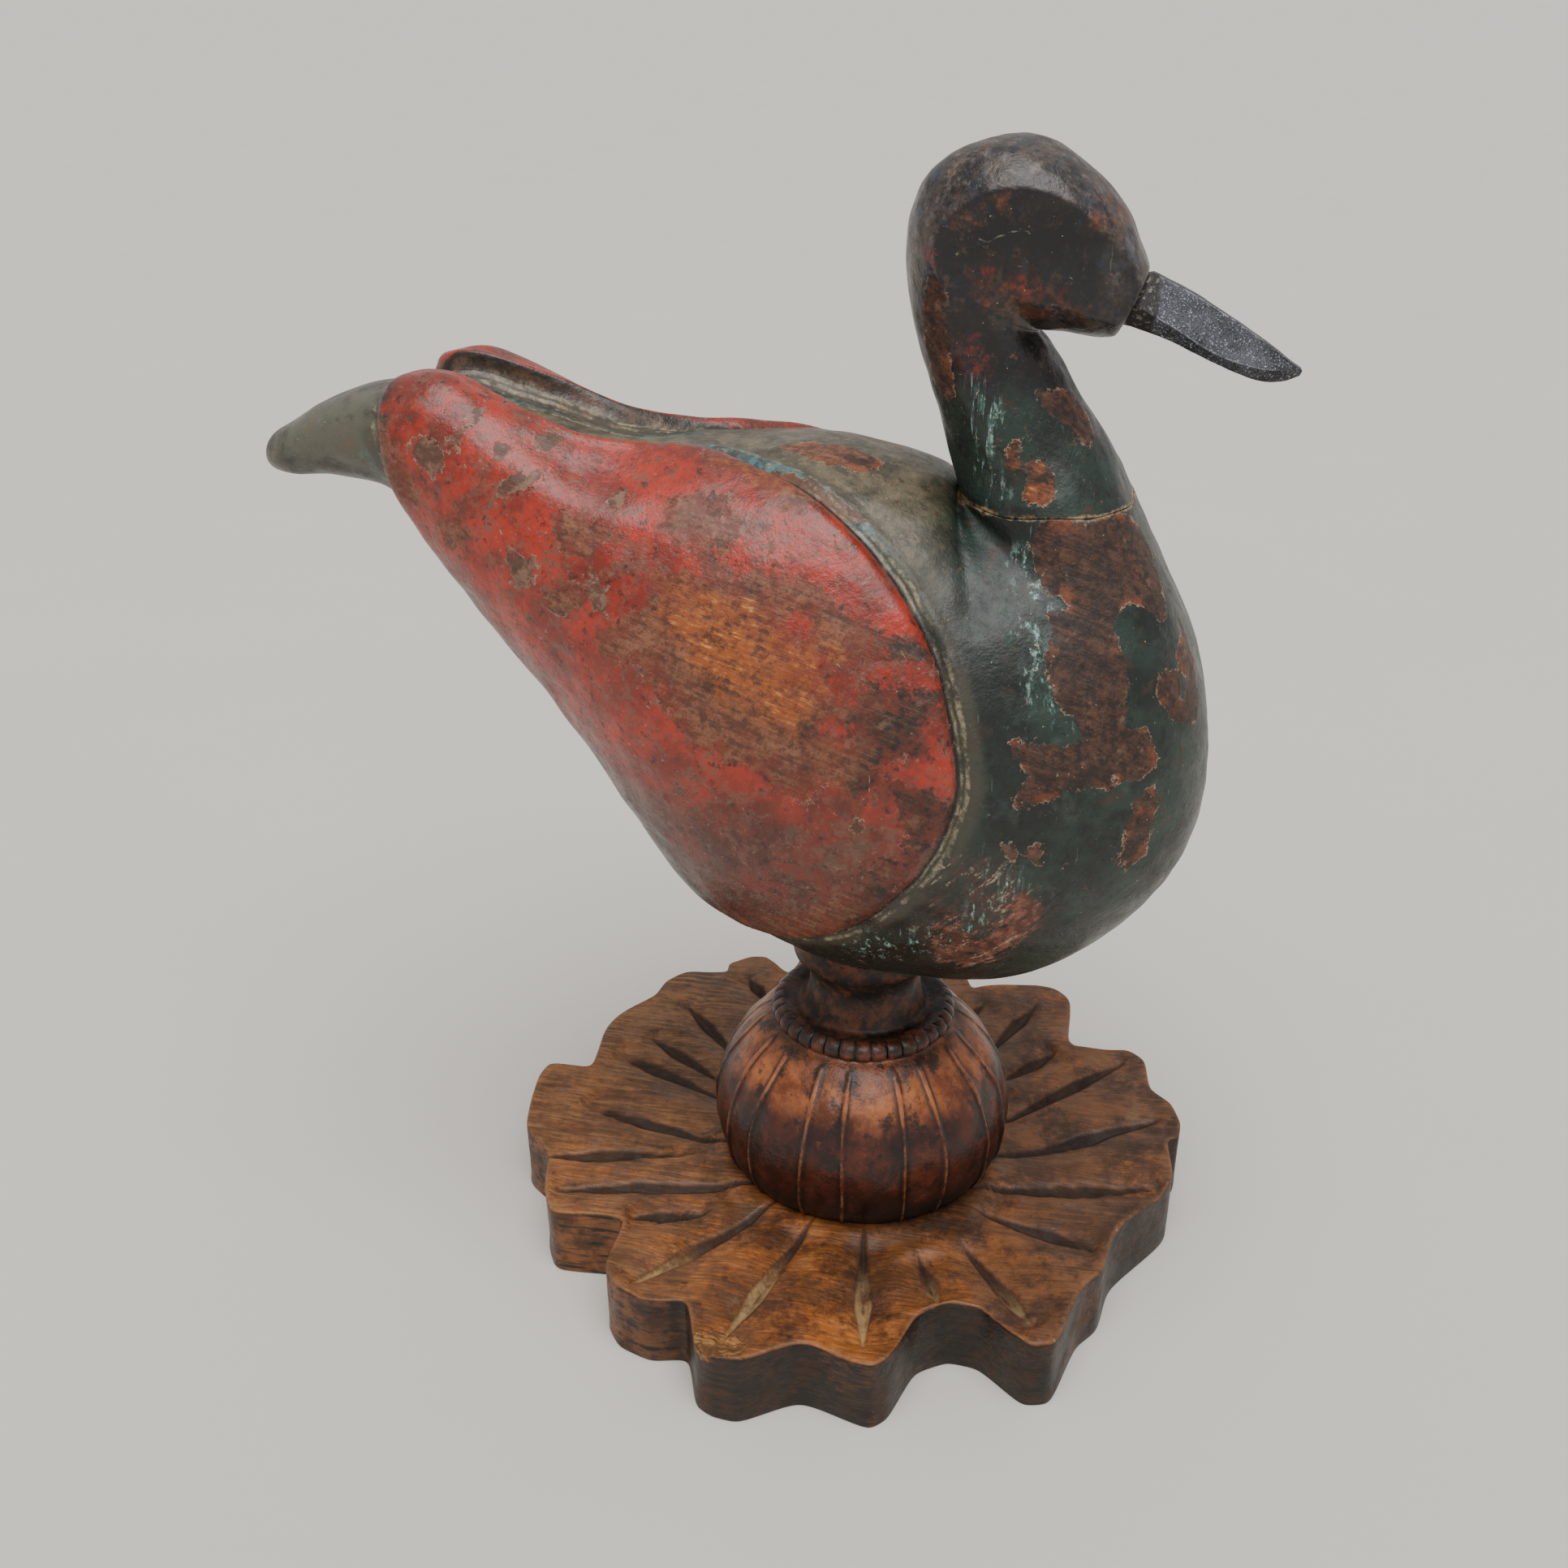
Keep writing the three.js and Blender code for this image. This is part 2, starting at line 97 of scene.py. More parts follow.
# %% [markdown]
# ## From a grid of points to a closed piece
#
# Every piece is a tube of rings. Neighbouring rings are joined with quads, and an end is closed with a fan
# of triangles round one middle point. The sign of the enclosed volume tells whether the faces look outwards.

# %% Faces of a tube, and the mesh object
def tube_faces(rings, columns, start=0):
    """Quads between neighbouring rings of a closed tube whose points are numbered ring by ring."""
    ring, column = np.meshgrid(np.arange(rings - 1), np.arange(columns), indexing="ij")
    after = (column + 1) % columns
    corners = [ring * columns + column, ring * columns + after]
    return start + np.stack([corners[0], corners[1], corners[1] + columns, corners[0] + columns], -1).reshape(-1, 4)


def fan_faces(first, columns, tip, turned):
    """Triangles from each edge of a ring to one tip point; turned swaps the way they look."""
    ring = first + np.arange(columns)
    after = first + (np.arange(columns) + 1) % columns
    corners = [after, ring] if turned else [ring, after]
    return np.stack([*corners, np.full(columns, tip)], -1)


def closed_tube(rings):
    """Points and faces of rings (r, c, 3) with both ends closed by a fan round the ring's middle."""
    count, columns = rings.shape[:2]
    points = np.concatenate([rings.reshape(-1, 3), rings[0].mean(0)[None], rings[-1].mean(0)[None]])
    total = count * columns
    faces = [tube_faces(count, columns), fan_faces(0, columns, total, True),
             fan_faces(total - columns, columns, total + 1, False)]
    return points, faces


def grid_normals(rings):
    """Unit normals of a tube: the cross product of the steps along it and round it."""
    along = np.gradient(rings, axis=0)
    around = np.roll(rings, -1, 1) - np.roll(rings, 1, 1)
    normal = np.cross(along, around)
    return normal / np.maximum(np.linalg.norm(normal, axis=-1, keepdims=True), 1e-9)


def mesh_piece(name, points, faces, fields, sharp=60):
    """A mesh object at the origin, its points turned from millimetres to metres, its faces turned outwards
    by the sign of the sum of a . (b x c), with one named number per point for each field."""
    volume = sum(np.einsum("ij,ij->", points[f[:, 0]], np.cross(points[f[:, k]], points[f[:, k + 1]]))
                 for f in faces for k in range(1, f.shape[1] - 1))
    if volume < 0:
        faces = [f[:, ::-1] for f in faces]
    sizes = np.concatenate([np.full(len(f), f.shape[1]) for f in faces])
    mesh = bpy.data.meshes.new(name)
    mesh.vertices.add(len(points))
    mesh.vertices.foreach_set("co", (points * MM).astype(np.float32).ravel())
    mesh.loops.add(int(sizes.sum()))
    mesh.loops.foreach_set("vertex_index", np.concatenate([f.ravel() for f in faces]).astype(np.int32))
    mesh.polygons.add(len(sizes))
    mesh.polygons.foreach_set("loop_start", (np.cumsum(sizes) - sizes).astype(np.int32))
    mesh.update(calc_edges=True)
    mesh.shade_smooth()
    mesh.set_sharp_from_angle(angle=math.radians(sharp))
    for field, values in fields.items():
        layer = mesh.attributes.new(field, "FLOAT", "POINT")
        padded = np.concatenate([values.ravel(), np.full(len(points) - values.size, values.ravel()[-1])])
        layer.data.foreach_set("value", padded.astype(np.float32))
    piece = bpy.data.objects.new(name, mesh)
    scene.collection.objects.link(piece)
    size = np.ptp(points, axis=0)
    triangles = int((sizes - 2).sum())
    print(f"{name}: {triangles} triangles, {size[0]:.1f} x {size[1]:.1f} x {size[2]:.1f} mm")
    return piece


# %% [markdown]
# ## The slices of the duck
#
# Body and head are each a row of slices across the middle plane. A slice starts at its upper edge (the back or
# the nape), goes down the left side to its lower edge (the belly, the chest or the jaw) and up the right side.
# The turn says where on the slice a point is: 0 above, 180 below, and 360 above again.

# %% Tables of the slices
GAP = 0.3
HUMP_AT, HUMP_SPREAD = 46, 22

# Each row: x, z of its upper edge, x, z of its lower edge, half width, squareness, place of the widest point, hump
BODY = [
    [-120, 167.5, -120, 167.5, 0, 0.85, 0.5, 0],
    [-118.5, 171.5, -118.5, 165, 5.5, 0.8, 0.5, 0],
    [-114, 174.5, -113.5, 164, 9, 0.75, 0.5, 0],
    [-106.5, 178.5, -104.5, 164, 11.5, 0.68, 0.42, 0],
    [-95.5, 182, -94, 162.5, 13.5, 0.66, 0.38, 0],
    [-87, 183, -87, 156, 15, 0.68, 0.38, 2],
    [-78, 183, -78, 145, 17.5, 0.72, 0.36, 5],
    [-66.5, 179.5, -67, 129, 22, 0.8, 0.36, 4.6],
    [-52.5, 176, -53, 110, 28, 0.85, 0.38, 2.2],
    [-39, 174.5, -40.5, 92.5, 33, 0.85, 0.42, 0.8],
    [-25.5, 175, -28.5, 79.5, 36.5, 0.85, 0.46, 0.5],
    [-10.5, 175.5, -14.5, 72.5, 38.5, 0.85, 0.48, 0],
    [2, 174, 1, 69, 39, 0.88, 0.5, 0],
    [10, 171.5, 17.5, 68.5, 39, 0.9, 0.5, 0],
    [14, 169, 34, 71.5, 38.5, 0.92, 0.5, 0],
    [15, 168, 48, 80, 37, 0.95, 0.52, 0],
    [15, 168, 59.5, 95.5, 34.5, 0.98, 0.55, 0],
    [15.5, 167.5, 64, 113.5, 31, 1, 0.58, 0],
    [15.5, 167.5, 63, 130, 26.5, 1, 0.6, 0],
    [15.5, 167.5, 57.3, 147.5, 22, 1, 0.6, 0],
    [15.2, 167.5, 46.4, 168.2, 18, 1, 0.55, 0],
]
HEAD = [
    [15.2, 167.5 + GAP, 46.2, 168.2 + GAP, 18, 1, 0.55, 0],
    [13.5, 173.5, 43.3, 173.5, 16, 1, 0.55, 0],
    [11.5, 180, 39.5, 179.5, 14.4, 1, 0.52, 0],
    [8.5, 189, 34.5, 187.5, 12.5, 1, 0.5, 0],
    [5.5, 197.5, 30, 194, 12.5, 1, 0.5, 0],
    [4.5, 205.5, 28, 196.2, 13, 1, 0.48, 0],
    [4.5, 213.5, 28, 196.6, 14.5, 0.95, 0.46, 0],
    [6.7, 220.5, 28.1, 196.6, 15.5, 0.92, 0.44, 0],
    [12.2, 225.7, 28.6, 196.5, 16, 0.9, 0.44, 0],
    [20, 228, 30, 196.4, 16.5, 0.9, 0.44, 0],
    [28, 226.8, 32.5, 196.2, 16, 0.9, 0.44, 0],
    [35, 222.6, 35.5, 196, 15, 0.9, 0.46, 0],
    [40.5, 216.5, 38, 195.9, 12.5, 0.9, 0.48, 0],
    [44, 210.5, 39.8, 196, 10.5, 0.9, 0.5, 0],
    [45.5, 207, 40.8, 196.4, 8.5, 0.9, 0.5, 0],
]


def surface_point(table, place, turn):
    """A point of a slice: the width follows the sine of the angle raised to the squareness, and the way down
    1 - ((1 + cos) / 2)^(log(1 - widest) / log 0.5); the hump adds a bell curve of the angle to the height."""
    turn = np.mod(turn, 360)
    side = np.where(turn <= 180, 1.0, -1.0)
    degrees = np.where(turn <= 180, turn, 360 - turn)
    angle = np.radians(degrees)
    top_x, top_z, low_x, low_z, half, square, widest, hump = np.moveaxis(smooth_rows(table, place), -1, 0)
    down = 1 - ((1 + np.cos(angle)) / 2) ** (np.log(1 - widest) / math.log(0.5))
    out = np.maximum(half, 0) * np.maximum(np.sin(angle), 0) ** square
    rise = hump * np.exp(-(((degrees - HUMP_AT) / HUMP_SPREAD) ** 2))
    return np.stack([top_x + (low_x - top_x) * down, side * out, top_z + (low_z - top_z) * down + rise], -1)


def even_grid(table, rings, columns, start=0.0):
    """Places and turns that lie about evenly on the surface: the length along the longest of four lines from
    end to end, and the mean length round the slices, each cut into equal steps."""
    places = np.linspace(start, len(table) - 1, 1200)
    lines = surface_point(table, places[:, None], np.array([0.0, 60, 120, 180]))
    along = np.concatenate([[0], np.cumsum(np.linalg.norm(np.diff(lines, axis=0), axis=-1).max(1))])
    place = np.interp(np.linspace(0, along[-1], rings), along, places)
    turns = np.linspace(0, 180, 721)
    loops = surface_point(table, np.linspace(start, len(table) - 1, 16)[:, None], turns)
    around = np.linalg.norm(np.diff(loops, axis=1), axis=-1)
    around = np.concatenate([[0], np.cumsum((around / around.sum(1, keepdims=True)).mean(0))])
    half = np.interp(np.linspace(0, 1, columns // 2 + 1), around, turns)
    turn = np.concatenate([half, 360 - half[-2:0:-1]])
    return np.meshgrid(place, turn, indexing="ij")


# %% [markdown]
# ## Outlines drawn on a surface
#
# A wing edge, a bare patch or a crack is drawn on the surface itself, as corners of [place, turn]. What the
# carving and the paint need is the distance from each point to that line in real millimetres, positive inside.
# One number per point, the distance, then drives the relief and every layer of paint beside the line.

# %% Signed distance to an outline
def distance_to_line(points, line, closed):
    """Shortest distance from each point to a chain of straight pieces: the foot of the perpendicular, kept
    between the ends of the piece."""
    ends = np.roll(line, -1, 0) if closed else line[1:]
    starts = line if closed else line[:-1]
    sides = ends - starts
    lengths = np.maximum((sides * sides).sum(-1), 1e-9)
    nearest = np.empty(len(points))
    for part in np.array_split(np.arange(len(points)), max(1, len(points) * len(starts) // 1500000)):
        offset = points[part, None] - starts
        share = np.clip((offset * sides).sum(-1) / lengths, 0, 1)[..., None]
        nearest[part] = np.linalg.norm(offset - share * sides, axis=-1).min(1)
    return nearest


def inside_outline(spots, outline):
    """Even-odd test: a spot is inside when a line from it crosses the outline an odd number of times."""
    inside = np.zeros(len(spots), bool)
    for (x0, y0), (x1, y1) in zip(outline, np.roll(outline, -1, 0)):
        crosses = (y0 > spots[:, 1]) != (y1 > spots[:, 1])
        reach = (x1 - x0) * (spots[:, 1] - y0) / ((y1 - y0) or 1e-9) + x0
        inside ^= crosses & (spots[:, 0] < reach)
    return inside


def outline_distance(surface, grid, points, corners, reach=9.0, steps=5):
    """Millimetres from each point to a closed outline of [place, turn] corners, positive inside, between
    -reach and reach."""
    outline = closed_curve(corners, steps)
    line = surface(outline[:, 0], outline[:, 1])
    flat = points.reshape(-1, 3)
    spots = np.stack([grid[0].ravel(), grid[1].ravel()], -1)
    close = np.all((flat > line.min(0) - reach) & (flat < line.max(0) + reach), axis=1)
    distance = np.full(len(flat), -reach)
    gap = distance_to_line(flat[close], line, True)
    distance[close] = np.clip(np.where(inside_outline(spots[close], outline), gap, -gap), -reach, reach)
    return distance.reshape(points.shape[:2])


# %% [markdown]
# ## The body: one block with both wings standing proud
#
# The carver left the wings as panels about two millimetres high, five at their blunt rear ends, with a knife
# groove round their front edge. The wing's outline is drawn on the body, and the height of the panel is
# relief times (1 - e^(-d / 0.85)), with d the distance inside the outline: steep at the edge, flat beyond it.

# %% Wing outline and relief
WING = [
    [4.8, 36], [5.2, 22], [6.2, 20], [7.1, 22], [7.8, 21], [8.5, 15], [9.2, 11], [9.8, 12],
    [10.3, 17], [10.8, 23], [11.3, 29], [11.8, 35], [12.4, 42], [13, 50], [13.5, 60], [13.7, 72],
    [13.7, 83], [13.4, 93], [13, 103], [12.4, 115], [11.8, 127], [11.1, 139], [10.4, 148],
    [9.6, 151], [8.6, 149], [7.6, 148], [6.8, 147], [6, 143], [5.4, 132], [5, 116], [4.75, 92],
    [4.65, 60],
]
WING_RELIEF, WING_TIP_RELIEF, WING_EDGE_ROUNDING = 2.2, 5.0, 0.85


def body_point(place, turn):
    """A point of the body's smooth surface, without the wings."""
    return surface_point(BODY, place, turn)


def wing_height(place, half_turn, distance, crest):
    """Relief (2.2, rising to 5 by a smooth step towards the tail, but to 3 on top) times 1 - e^(-d / 0.85).
    Outside the edge come a groove and a low worn lip, both bell curves of the distance. Where the crest share
    is 1, the edge stands 1.1 mm higher, the face behind it is pared 1.9 mm and the furrow beside it 1.8 mm."""
    tip_relief = WING_TIP_RELIEF - 2 * (1 - smoothstep(half_turn, 25, 75))
    relief = WING_RELIEF + (tip_relief - WING_RELIEF) * smoothstep(9 - place, 0, 3.5)
    panel = relief * (1 - np.exp(-np.maximum(distance, 0) / WING_EDGE_ROUNDING))
    groove = -0.45 * np.exp(-(((distance + 0.8) / 0.8) ** 2))
    lip = 0.3 * np.exp(-(((distance + 2.9) / 1.1) ** 2)) * smoothstep(place, 8.5, 10)
    pared = 1.1 * np.exp(-(((distance - 0.9) / 1.6) ** 2)) - 1.9 * np.exp(-(((distance - 9.5) / 5.5) ** 2))
    furrow = -1.8 * smoothstep(-distance, 0.2, 3)
    return panel + (groove + lip) * (distance < 0.5) + crest * (pared * (distance > 0) + furrow)


def joint_wobble(turn, gap):
    """The saw cut of the neck isn't quite level: two sine waves of the turn, fading out 8 mm from the joint."""
    angle = np.radians(turn)
    return (0.3 * np.sin(3 * angle + 1) + 0.2 * np.sin(7 * angle)) * (1 - smoothstep(gap, 0, 8))


JOINT_RING = np.linspace(0, 360, 180, endpoint=False)


def rounded_rim(rings, normals, gap, radius):
    """Rolls an edge in: each point goes inwards by radius * (1 - gap / radius)^2 where the gap to the edge is
    less than the radius."""
    return rings - normals * (radius * np.clip(1 - gap / radius, 0, 1) ** 2)[..., None]


place, turn = even_grid(BODY, 250, 348, start=0.04)
place = np.concatenate([place, np.repeat([[19.96], [19.98], [19.99], [20.0]], place.shape[1], 1)])
place[-5] = 19.93
turn = np.concatenate([turn, turn[-4:]])
body_grid = (place, turn)
body_smooth = body_point(place, turn)
half_turn = np.where(turn > 180, 360 - turn, turn)
half_points = body_smooth * [1, 0, 1] + np.abs(body_smooth) * [0, 1, 0]
wing_distance = outline_distance(body_point, (place, half_turn), half_points, WING, reach=30.0, steps=10)
joint_line = body_point(np.full(180, 20.0), JOINT_RING)
body_joint = distance_to_line(body_smooth.reshape(-1, 3), joint_line, True).reshape(place.shape)
body_normal = grid_normals(body_smooth)
uneven = (0.2 * waves(body_smooth, 26, 3) + 0.06 * waves(body_smooth, 7, 4)) * smoothstep(body_joint, 0, 5)
wing_crest = smoothstep(place, 4.9, 5.6) * (1 - smoothstep(place, 8, 10)) * (1 - smoothstep(half_turn, 40, 62))
body_rise = wing_height(place, half_turn, wing_distance, wing_crest) + uneven * smoothstep(place, 0.3, 2)
body_rings = body_smooth + body_normal * body_rise[..., None]
body_rings = rounded_rim(body_rings, body_normal, body_joint, 0.3)
body_rings[..., 2] += joint_wobble(turn, body_joint) * (place > 13.5)
print(f"wing panels cover {100 * (wing_distance > 0).mean():.0f} % of the body's points")

# %% [markdown]
# ## Head and upper neck: an egg with its cheeks pared flat
#
# A knife took the cheeks off flat, which leaves the soft ridge that runs over each side of the head. The width
# is held under a limit that narrows towards the face, by a smooth minimum, so the ridge is rounded by handling.

# %% The head's surface
CHEEK_HALF_WIDTH, CHEEK_TAPER, CHEEK_SOFTNESS, CROWN_FALL, FACE_NARROWING = 13.0, 0.11, 0.5, 2.4, 2.6


def head_point(place, turn):
    """A slice point whose width w is kept under the limit m by the smooth minimum
    m + (w - m) h - s h (1 - h), with h the clipped share 1/2 - (w - m) / 2s, and only above the neck. The
    crown falls by 2.4 (w / m)^2 towards the cheeks, so its sides catch the light from above, and the last
    12 mm before the bill narrow by 2.6."""
    points = surface_point(HEAD, place, turn)
    width = np.abs(points[..., 1])
    limit = CHEEK_HALF_WIDTH - CHEEK_TAPER * np.maximum(points[..., 0] - 22, 0)
    limit = limit - FACE_NARROWING * smoothstep(points[..., 0], 34, 46)
    share = np.clip(0.5 - (width - limit) / (2 * CHEEK_SOFTNESS), 0, 1)
    pared = limit + (width - limit) * share - CHEEK_SOFTNESS * share * (1 - share)
    blend = smoothstep(points[..., 2], 189, 194)
    points[..., 1] = np.sign(points[..., 1]) * (width + (pared - width) * blend)
    points[..., 2] -= CROWN_FALL * (points[..., 1] / limit) ** 2 * smoothstep(points[..., 2], 204, 218)
    return points


head_place, head_turn = even_grid(HEAD, 236, 240)
head_place = np.concatenate([np.repeat([[0.0], [0.02], [0.04], [0.08]], 240, 1), head_place[1:]])
head_turn = np.concatenate([head_turn[:4], head_turn[1:]])
head_place = np.concatenate([head_place[:-1], np.repeat([[13.88], [13.94], [13.98], [14.0]], 240, 1)])
head_turn = np.concatenate([head_turn[:-1], head_turn[-4:]])
head_smooth = head_point(head_place, head_turn)
head_normal = grid_normals(head_smooth)
neck_line = head_point(np.zeros(180), JOINT_RING)
face_line = head_point(np.full(180, 14.0), JOINT_RING)
head_joint = distance_to_line(head_smooth.reshape(-1, 3), neck_line, True).reshape(head_place.shape)
head_face = distance_to_line(head_smooth.reshape(-1, 3), face_line, True).reshape(head_place.shape)
inner = smoothstep(head_joint, 0, 5) * smoothstep(head_face, 0, 4)
facets = 0.16 * waves(head_smooth, 17, 5) + 0.05 * waves(head_smooth, 5, 6)
head_rings = head_smooth + head_normal * (facets * inner)[..., None]
head_rings = rounded_rim(head_rings, head_normal, head_joint, 0.15)
head_rings = rounded_rim(head_rings, head_normal, head_face, 0.7)
head_rings[..., 2] += joint_wobble(head_turn, head_joint) - 0.2 * np.exp(-((head_joint / 1.5) ** 2))

# %% [markdown]
# ## Bill: a small forged wedge with a ridge, two side facets and a narrow lower band
#
# Each section is a hexagon. A conic between the middles of two sides rounds their corner, and the tighter it
# is, the closer it runs to the corner: 2.5 gives the soft petals of the base, and 16 the crisp edges of the bill.
# The bill is let into the face, so its root goes on a little way inside the head.

# %% Rounded outlines, and the bill
BILL = [
    [45.8, 206.6, 44, 201.6, 42.6, 198.3, 6.2],
    [51.5, 204, 50, 198.4, 49, 196.2, 6],
    [58, 200.4, 57.2, 194.3, 57, 192.6, 5.4],
    [65.2, 196, 64.2, 192.2, 63.8, 190, 4.6],
    [69.2, 193.2, 68.6, 191.8, 68.2, 189.6, 3.4],
    [71.6, 191.6, 71.7, 191.3, 71.3, 190.4, 1.4],
]


def rounded_outline(corners, tightness, steps):
    """Each corner c between side middles a and b becomes ((1-t)^2 a + 2wt(1-t) c + t^2 b) over the sum of its
    weights, at evenly spaced t."""
    t = ((np.arange(steps) + 0.5) / steps)[:, None]
    start = ((np.roll(corners, 1, -2) + corners) / 2)[..., None, :]
    end = ((np.roll(corners, -1, -2) + corners) / 2)[..., None, :]
    weights = [(1 - t) ** 2, 2 * tightness * t * (1 - t), t**2]
    curve = (weights[0] * start + weights[1] * corners[..., None, :] + weights[2] * end) / sum(weights)
    return curve.reshape(*corners.shape[:-2], -1, 3)


BILL_CORNER_STEPS, BILL_LET_IN = 16, 1.6
bill_place = np.concatenate([[0, 0.02], np.linspace(0.06, 4.9, 80), [4.95, 4.98, 5.0]])
rows = smooth_rows(BILL, bill_place)
ridge_x, ridge_z, edge_x, edge_z, low_x, low_z, half = rows.T
half = np.maximum(half, 1.2)
ridge = np.minimum(1.3, 0.8 * half)
corners = np.stack([
    np.stack([ridge_x, ridge, ridge_z], -1), np.stack([edge_x, half, edge_z], -1),
    np.stack([low_x, 0.75 * half, low_z], -1), np.stack([low_x, -0.75 * half, low_z], -1),
    np.stack([edge_x, -half, edge_z], -1), np.stack([ridge_x, -ridge, ridge_z], -1)], 1)
bill_rings = rounded_outline(corners, 16, BILL_CORNER_STEPS) + [GAP, 0, 0]
tip_middle = bill_rings[-1].mean(0)
tip = [tip_middle + (bill_rings[-1] - tip_middle) * share + [0.25 * push, 0, 0] for share, push in ((0.9, 0.5), (0.6, 1))]
root_middle = bill_rings[0].mean(0)
root = root_middle + (bill_rings[0] - root_middle) * 0.94 - [BILL_LET_IN, 0, 0]
bill_rings = np.concatenate([root[None], bill_rings, tip])
bill_rings = bill_rings + (grid_normals(bill_rings) * (0.035 * waves(bill_rings, 5, 8) * smoothstep(bill_rings[..., 0], 46, 50))[..., None])

# %% [markdown]
# ## Ball: a turned shape with eighteen carved ribs
#
# The outline was turned on a lathe: ball, beaded ring, deep neck and flare. Then the panels were pared between
# thin upright ribs by hand, so the ribs stand at slightly uneven distances and waver a little.

# %% The ball's surface
BASE_THICKNESS = 17
BALL_RADIUS, BALL_RIBS, FIRST_RIB, RIB_UNEVENNESS = 31.5, 18, 13, 2
RIB_HEIGHT, RIB_WIDTH, PANEL_BULGE, BEAD_DEPTH, BEADS = 0.9, 0.75, 0.5, 0.7, 36
BALL_OUTLINE = [
    [0.3, 28.4], [3, 29.9], [8, 31.2], [14, 31.5], [20, 30.2], [25.5, 27.5], [30, 24], [33.2, 20.8],
    [34.4, 19], [35.4, 19.6], [37, 19.5], [38.2, 18], [38, 16], [37.6, 13.6], [41, 12], [45, 11.7], [48.4, 13],
    [50.6, 15], [56, 15.6],
]


def ball_surface(rings, columns):
    """The turned outline at even lengths, swollen in the panels: a rib adds height / (1 + (d / w)^2)^2, with d
    the distance round to the nearest rib, a panel 1 - (2 s)^2, with s the share from its middle, and a bead
    takes away what a half circle leaves."""
    fine = np.linspace(0, len(BALL_OUTLINE) - 1, 1500)
    outline = smooth_rows(BALL_OUTLINE, fine)
    length = np.concatenate([[0], np.cumsum(np.linalg.norm(np.diff(outline, axis=0), axis=1))])
    place = np.interp(np.linspace(0, length[-1], rings), length, fine)[:, None]
    height, radius = np.moveaxis(smooth_rows(BALL_OUTLINE, place[:, 0]), -1, 0)[..., None]
    angle = np.linspace(0, 360, columns, endpoint=False)[None]
    ribs = FIRST_RIB + 360 * np.arange(BALL_RIBS) / BALL_RIBS + RIB_UNEVENNESS * (-1) ** np.arange(BALL_RIBS)
    waver = 0.5 * np.sin(height / 5 + 2.4 * np.arange(BALL_RIBS)[:, None, None])
    offset = (angle - ribs[:, None, None] - waver + 180) % 360 - 180
    nearest = np.abs(offset).min(0)
    carved = 1 - smoothstep(place, 6.6, 7.4)
    rib = carved / (1 + (np.radians(nearest) * radius / RIB_WIDTH) ** 2) ** 2
    panel = carved * (1 - (1 - np.clip(nearest / 10, 0, 1)) ** 2)
    bead_share = np.abs((angle - FIRST_RIB) * BEADS / 360 % 1 - 0.5) * 2
    beads = smoothstep(place, 8.3, 9) * (1 - smoothstep(place, 11, 11.6))
    bead = beads * (1 - np.sqrt(np.clip(1 - bead_share**2, 0, 1)))
    swollen = radius + (radius / BALL_RADIUS) * (rib * RIB_HEIGHT + panel * PANEL_BULGE) - bead * BEAD_DEPTH
    across = np.radians(angle)
    points = np.stack([swollen * np.cos(across), swollen * np.sin(across), BASE_THICKNESS + height + 0 * across], -1)
    return points, rib, place + 0 * angle, bead


ball_rings, ball_rib, ball_place, ball_bead = ball_surface(132, 720)
ball_uneven = 0.12 * waves(ball_rings, 12, 9) * smoothstep(ball_rings[..., 2], 17.5, 22)
ball_rings = ball_rings + grid_normals(ball_rings) * ball_uneven[..., None]
belly = body_rings[(place > 8) & (place < 17) & (half_turn > 120)]
belly = belly[(np.hypot(belly[:, 0], belly[:, 1]) < 22) & (belly[:, 2] < 90)]
top = (ball_rings[..., 2] > 60) & (np.hypot(ball_rings[..., 0], ball_rings[..., 1]) > 5)
spots = ball_rings[top]
nearest = np.argmin(((spots[:, None, :2] - belly[None, :, :2]) ** 2).sum(-1), axis=1)
spots[:, 2] = np.minimum(spots[:, 2], belly[nearest, 2] - 0.12)
ball_rings[top] = spots

# %% [markdown]
# ## Base: a sawn slab with sixteen uneven petals
#
# The outline was sawn by hand round drawn petals, so no two are alike. V cuts made with a gouge run from the
# ball out to the petals, narrow at first, widest past their middle, and pointed. Each petal slopes a little
# down to its cuts. The top edge is worn round, and one front corner is chipped.

# %% The base's surface
BASE_MIDDLE = np.array([-1.0, 7.0])
TOP_EDGE_WEAR, BOTTOM_EDGE_WEAR, CUT_DEPTH, CUT_HALF_WIDTH = 0.8, 0.4, 1.9, 2.3
PETALS = [
    [174, 66.5], [175, 77.5], [179, 78], [193, 77], [199, 71], [210, 73.5], [216, 74],
    [224, 60.5], [232, 72], [237, 74], [243, 72.5], [248, 67.5], [254, 77], [257, 78], [261, 77.5],
    [269, 69], [280, 74.5], [283, 72], [289, 61], [296, 59.5], [301, 63], [304, 74.5], [308, 76.5],
    [319, 68], [325, 68], [335, 63.5], [353, 71], [5, 69], [6, 72], [10, 73.5], [15, 73],
    [20, 69.5], [29, 73.5], [33, 71.5], [39, 61], [42, 61.5], [52, 74.5], [57, 76],
    [68, 66], [71, 62], [77, 73.5], [85, 75.5], [94, 65], [99, 66], [104, 75], [110, 73],
    [116, 62], [119, 72.5], [122, 74], [127, 73.5], [129, 69.5], [136, 76], [141, 75.5],
    [146, 71.5], [154, 73.5], [160, 72.5],
]
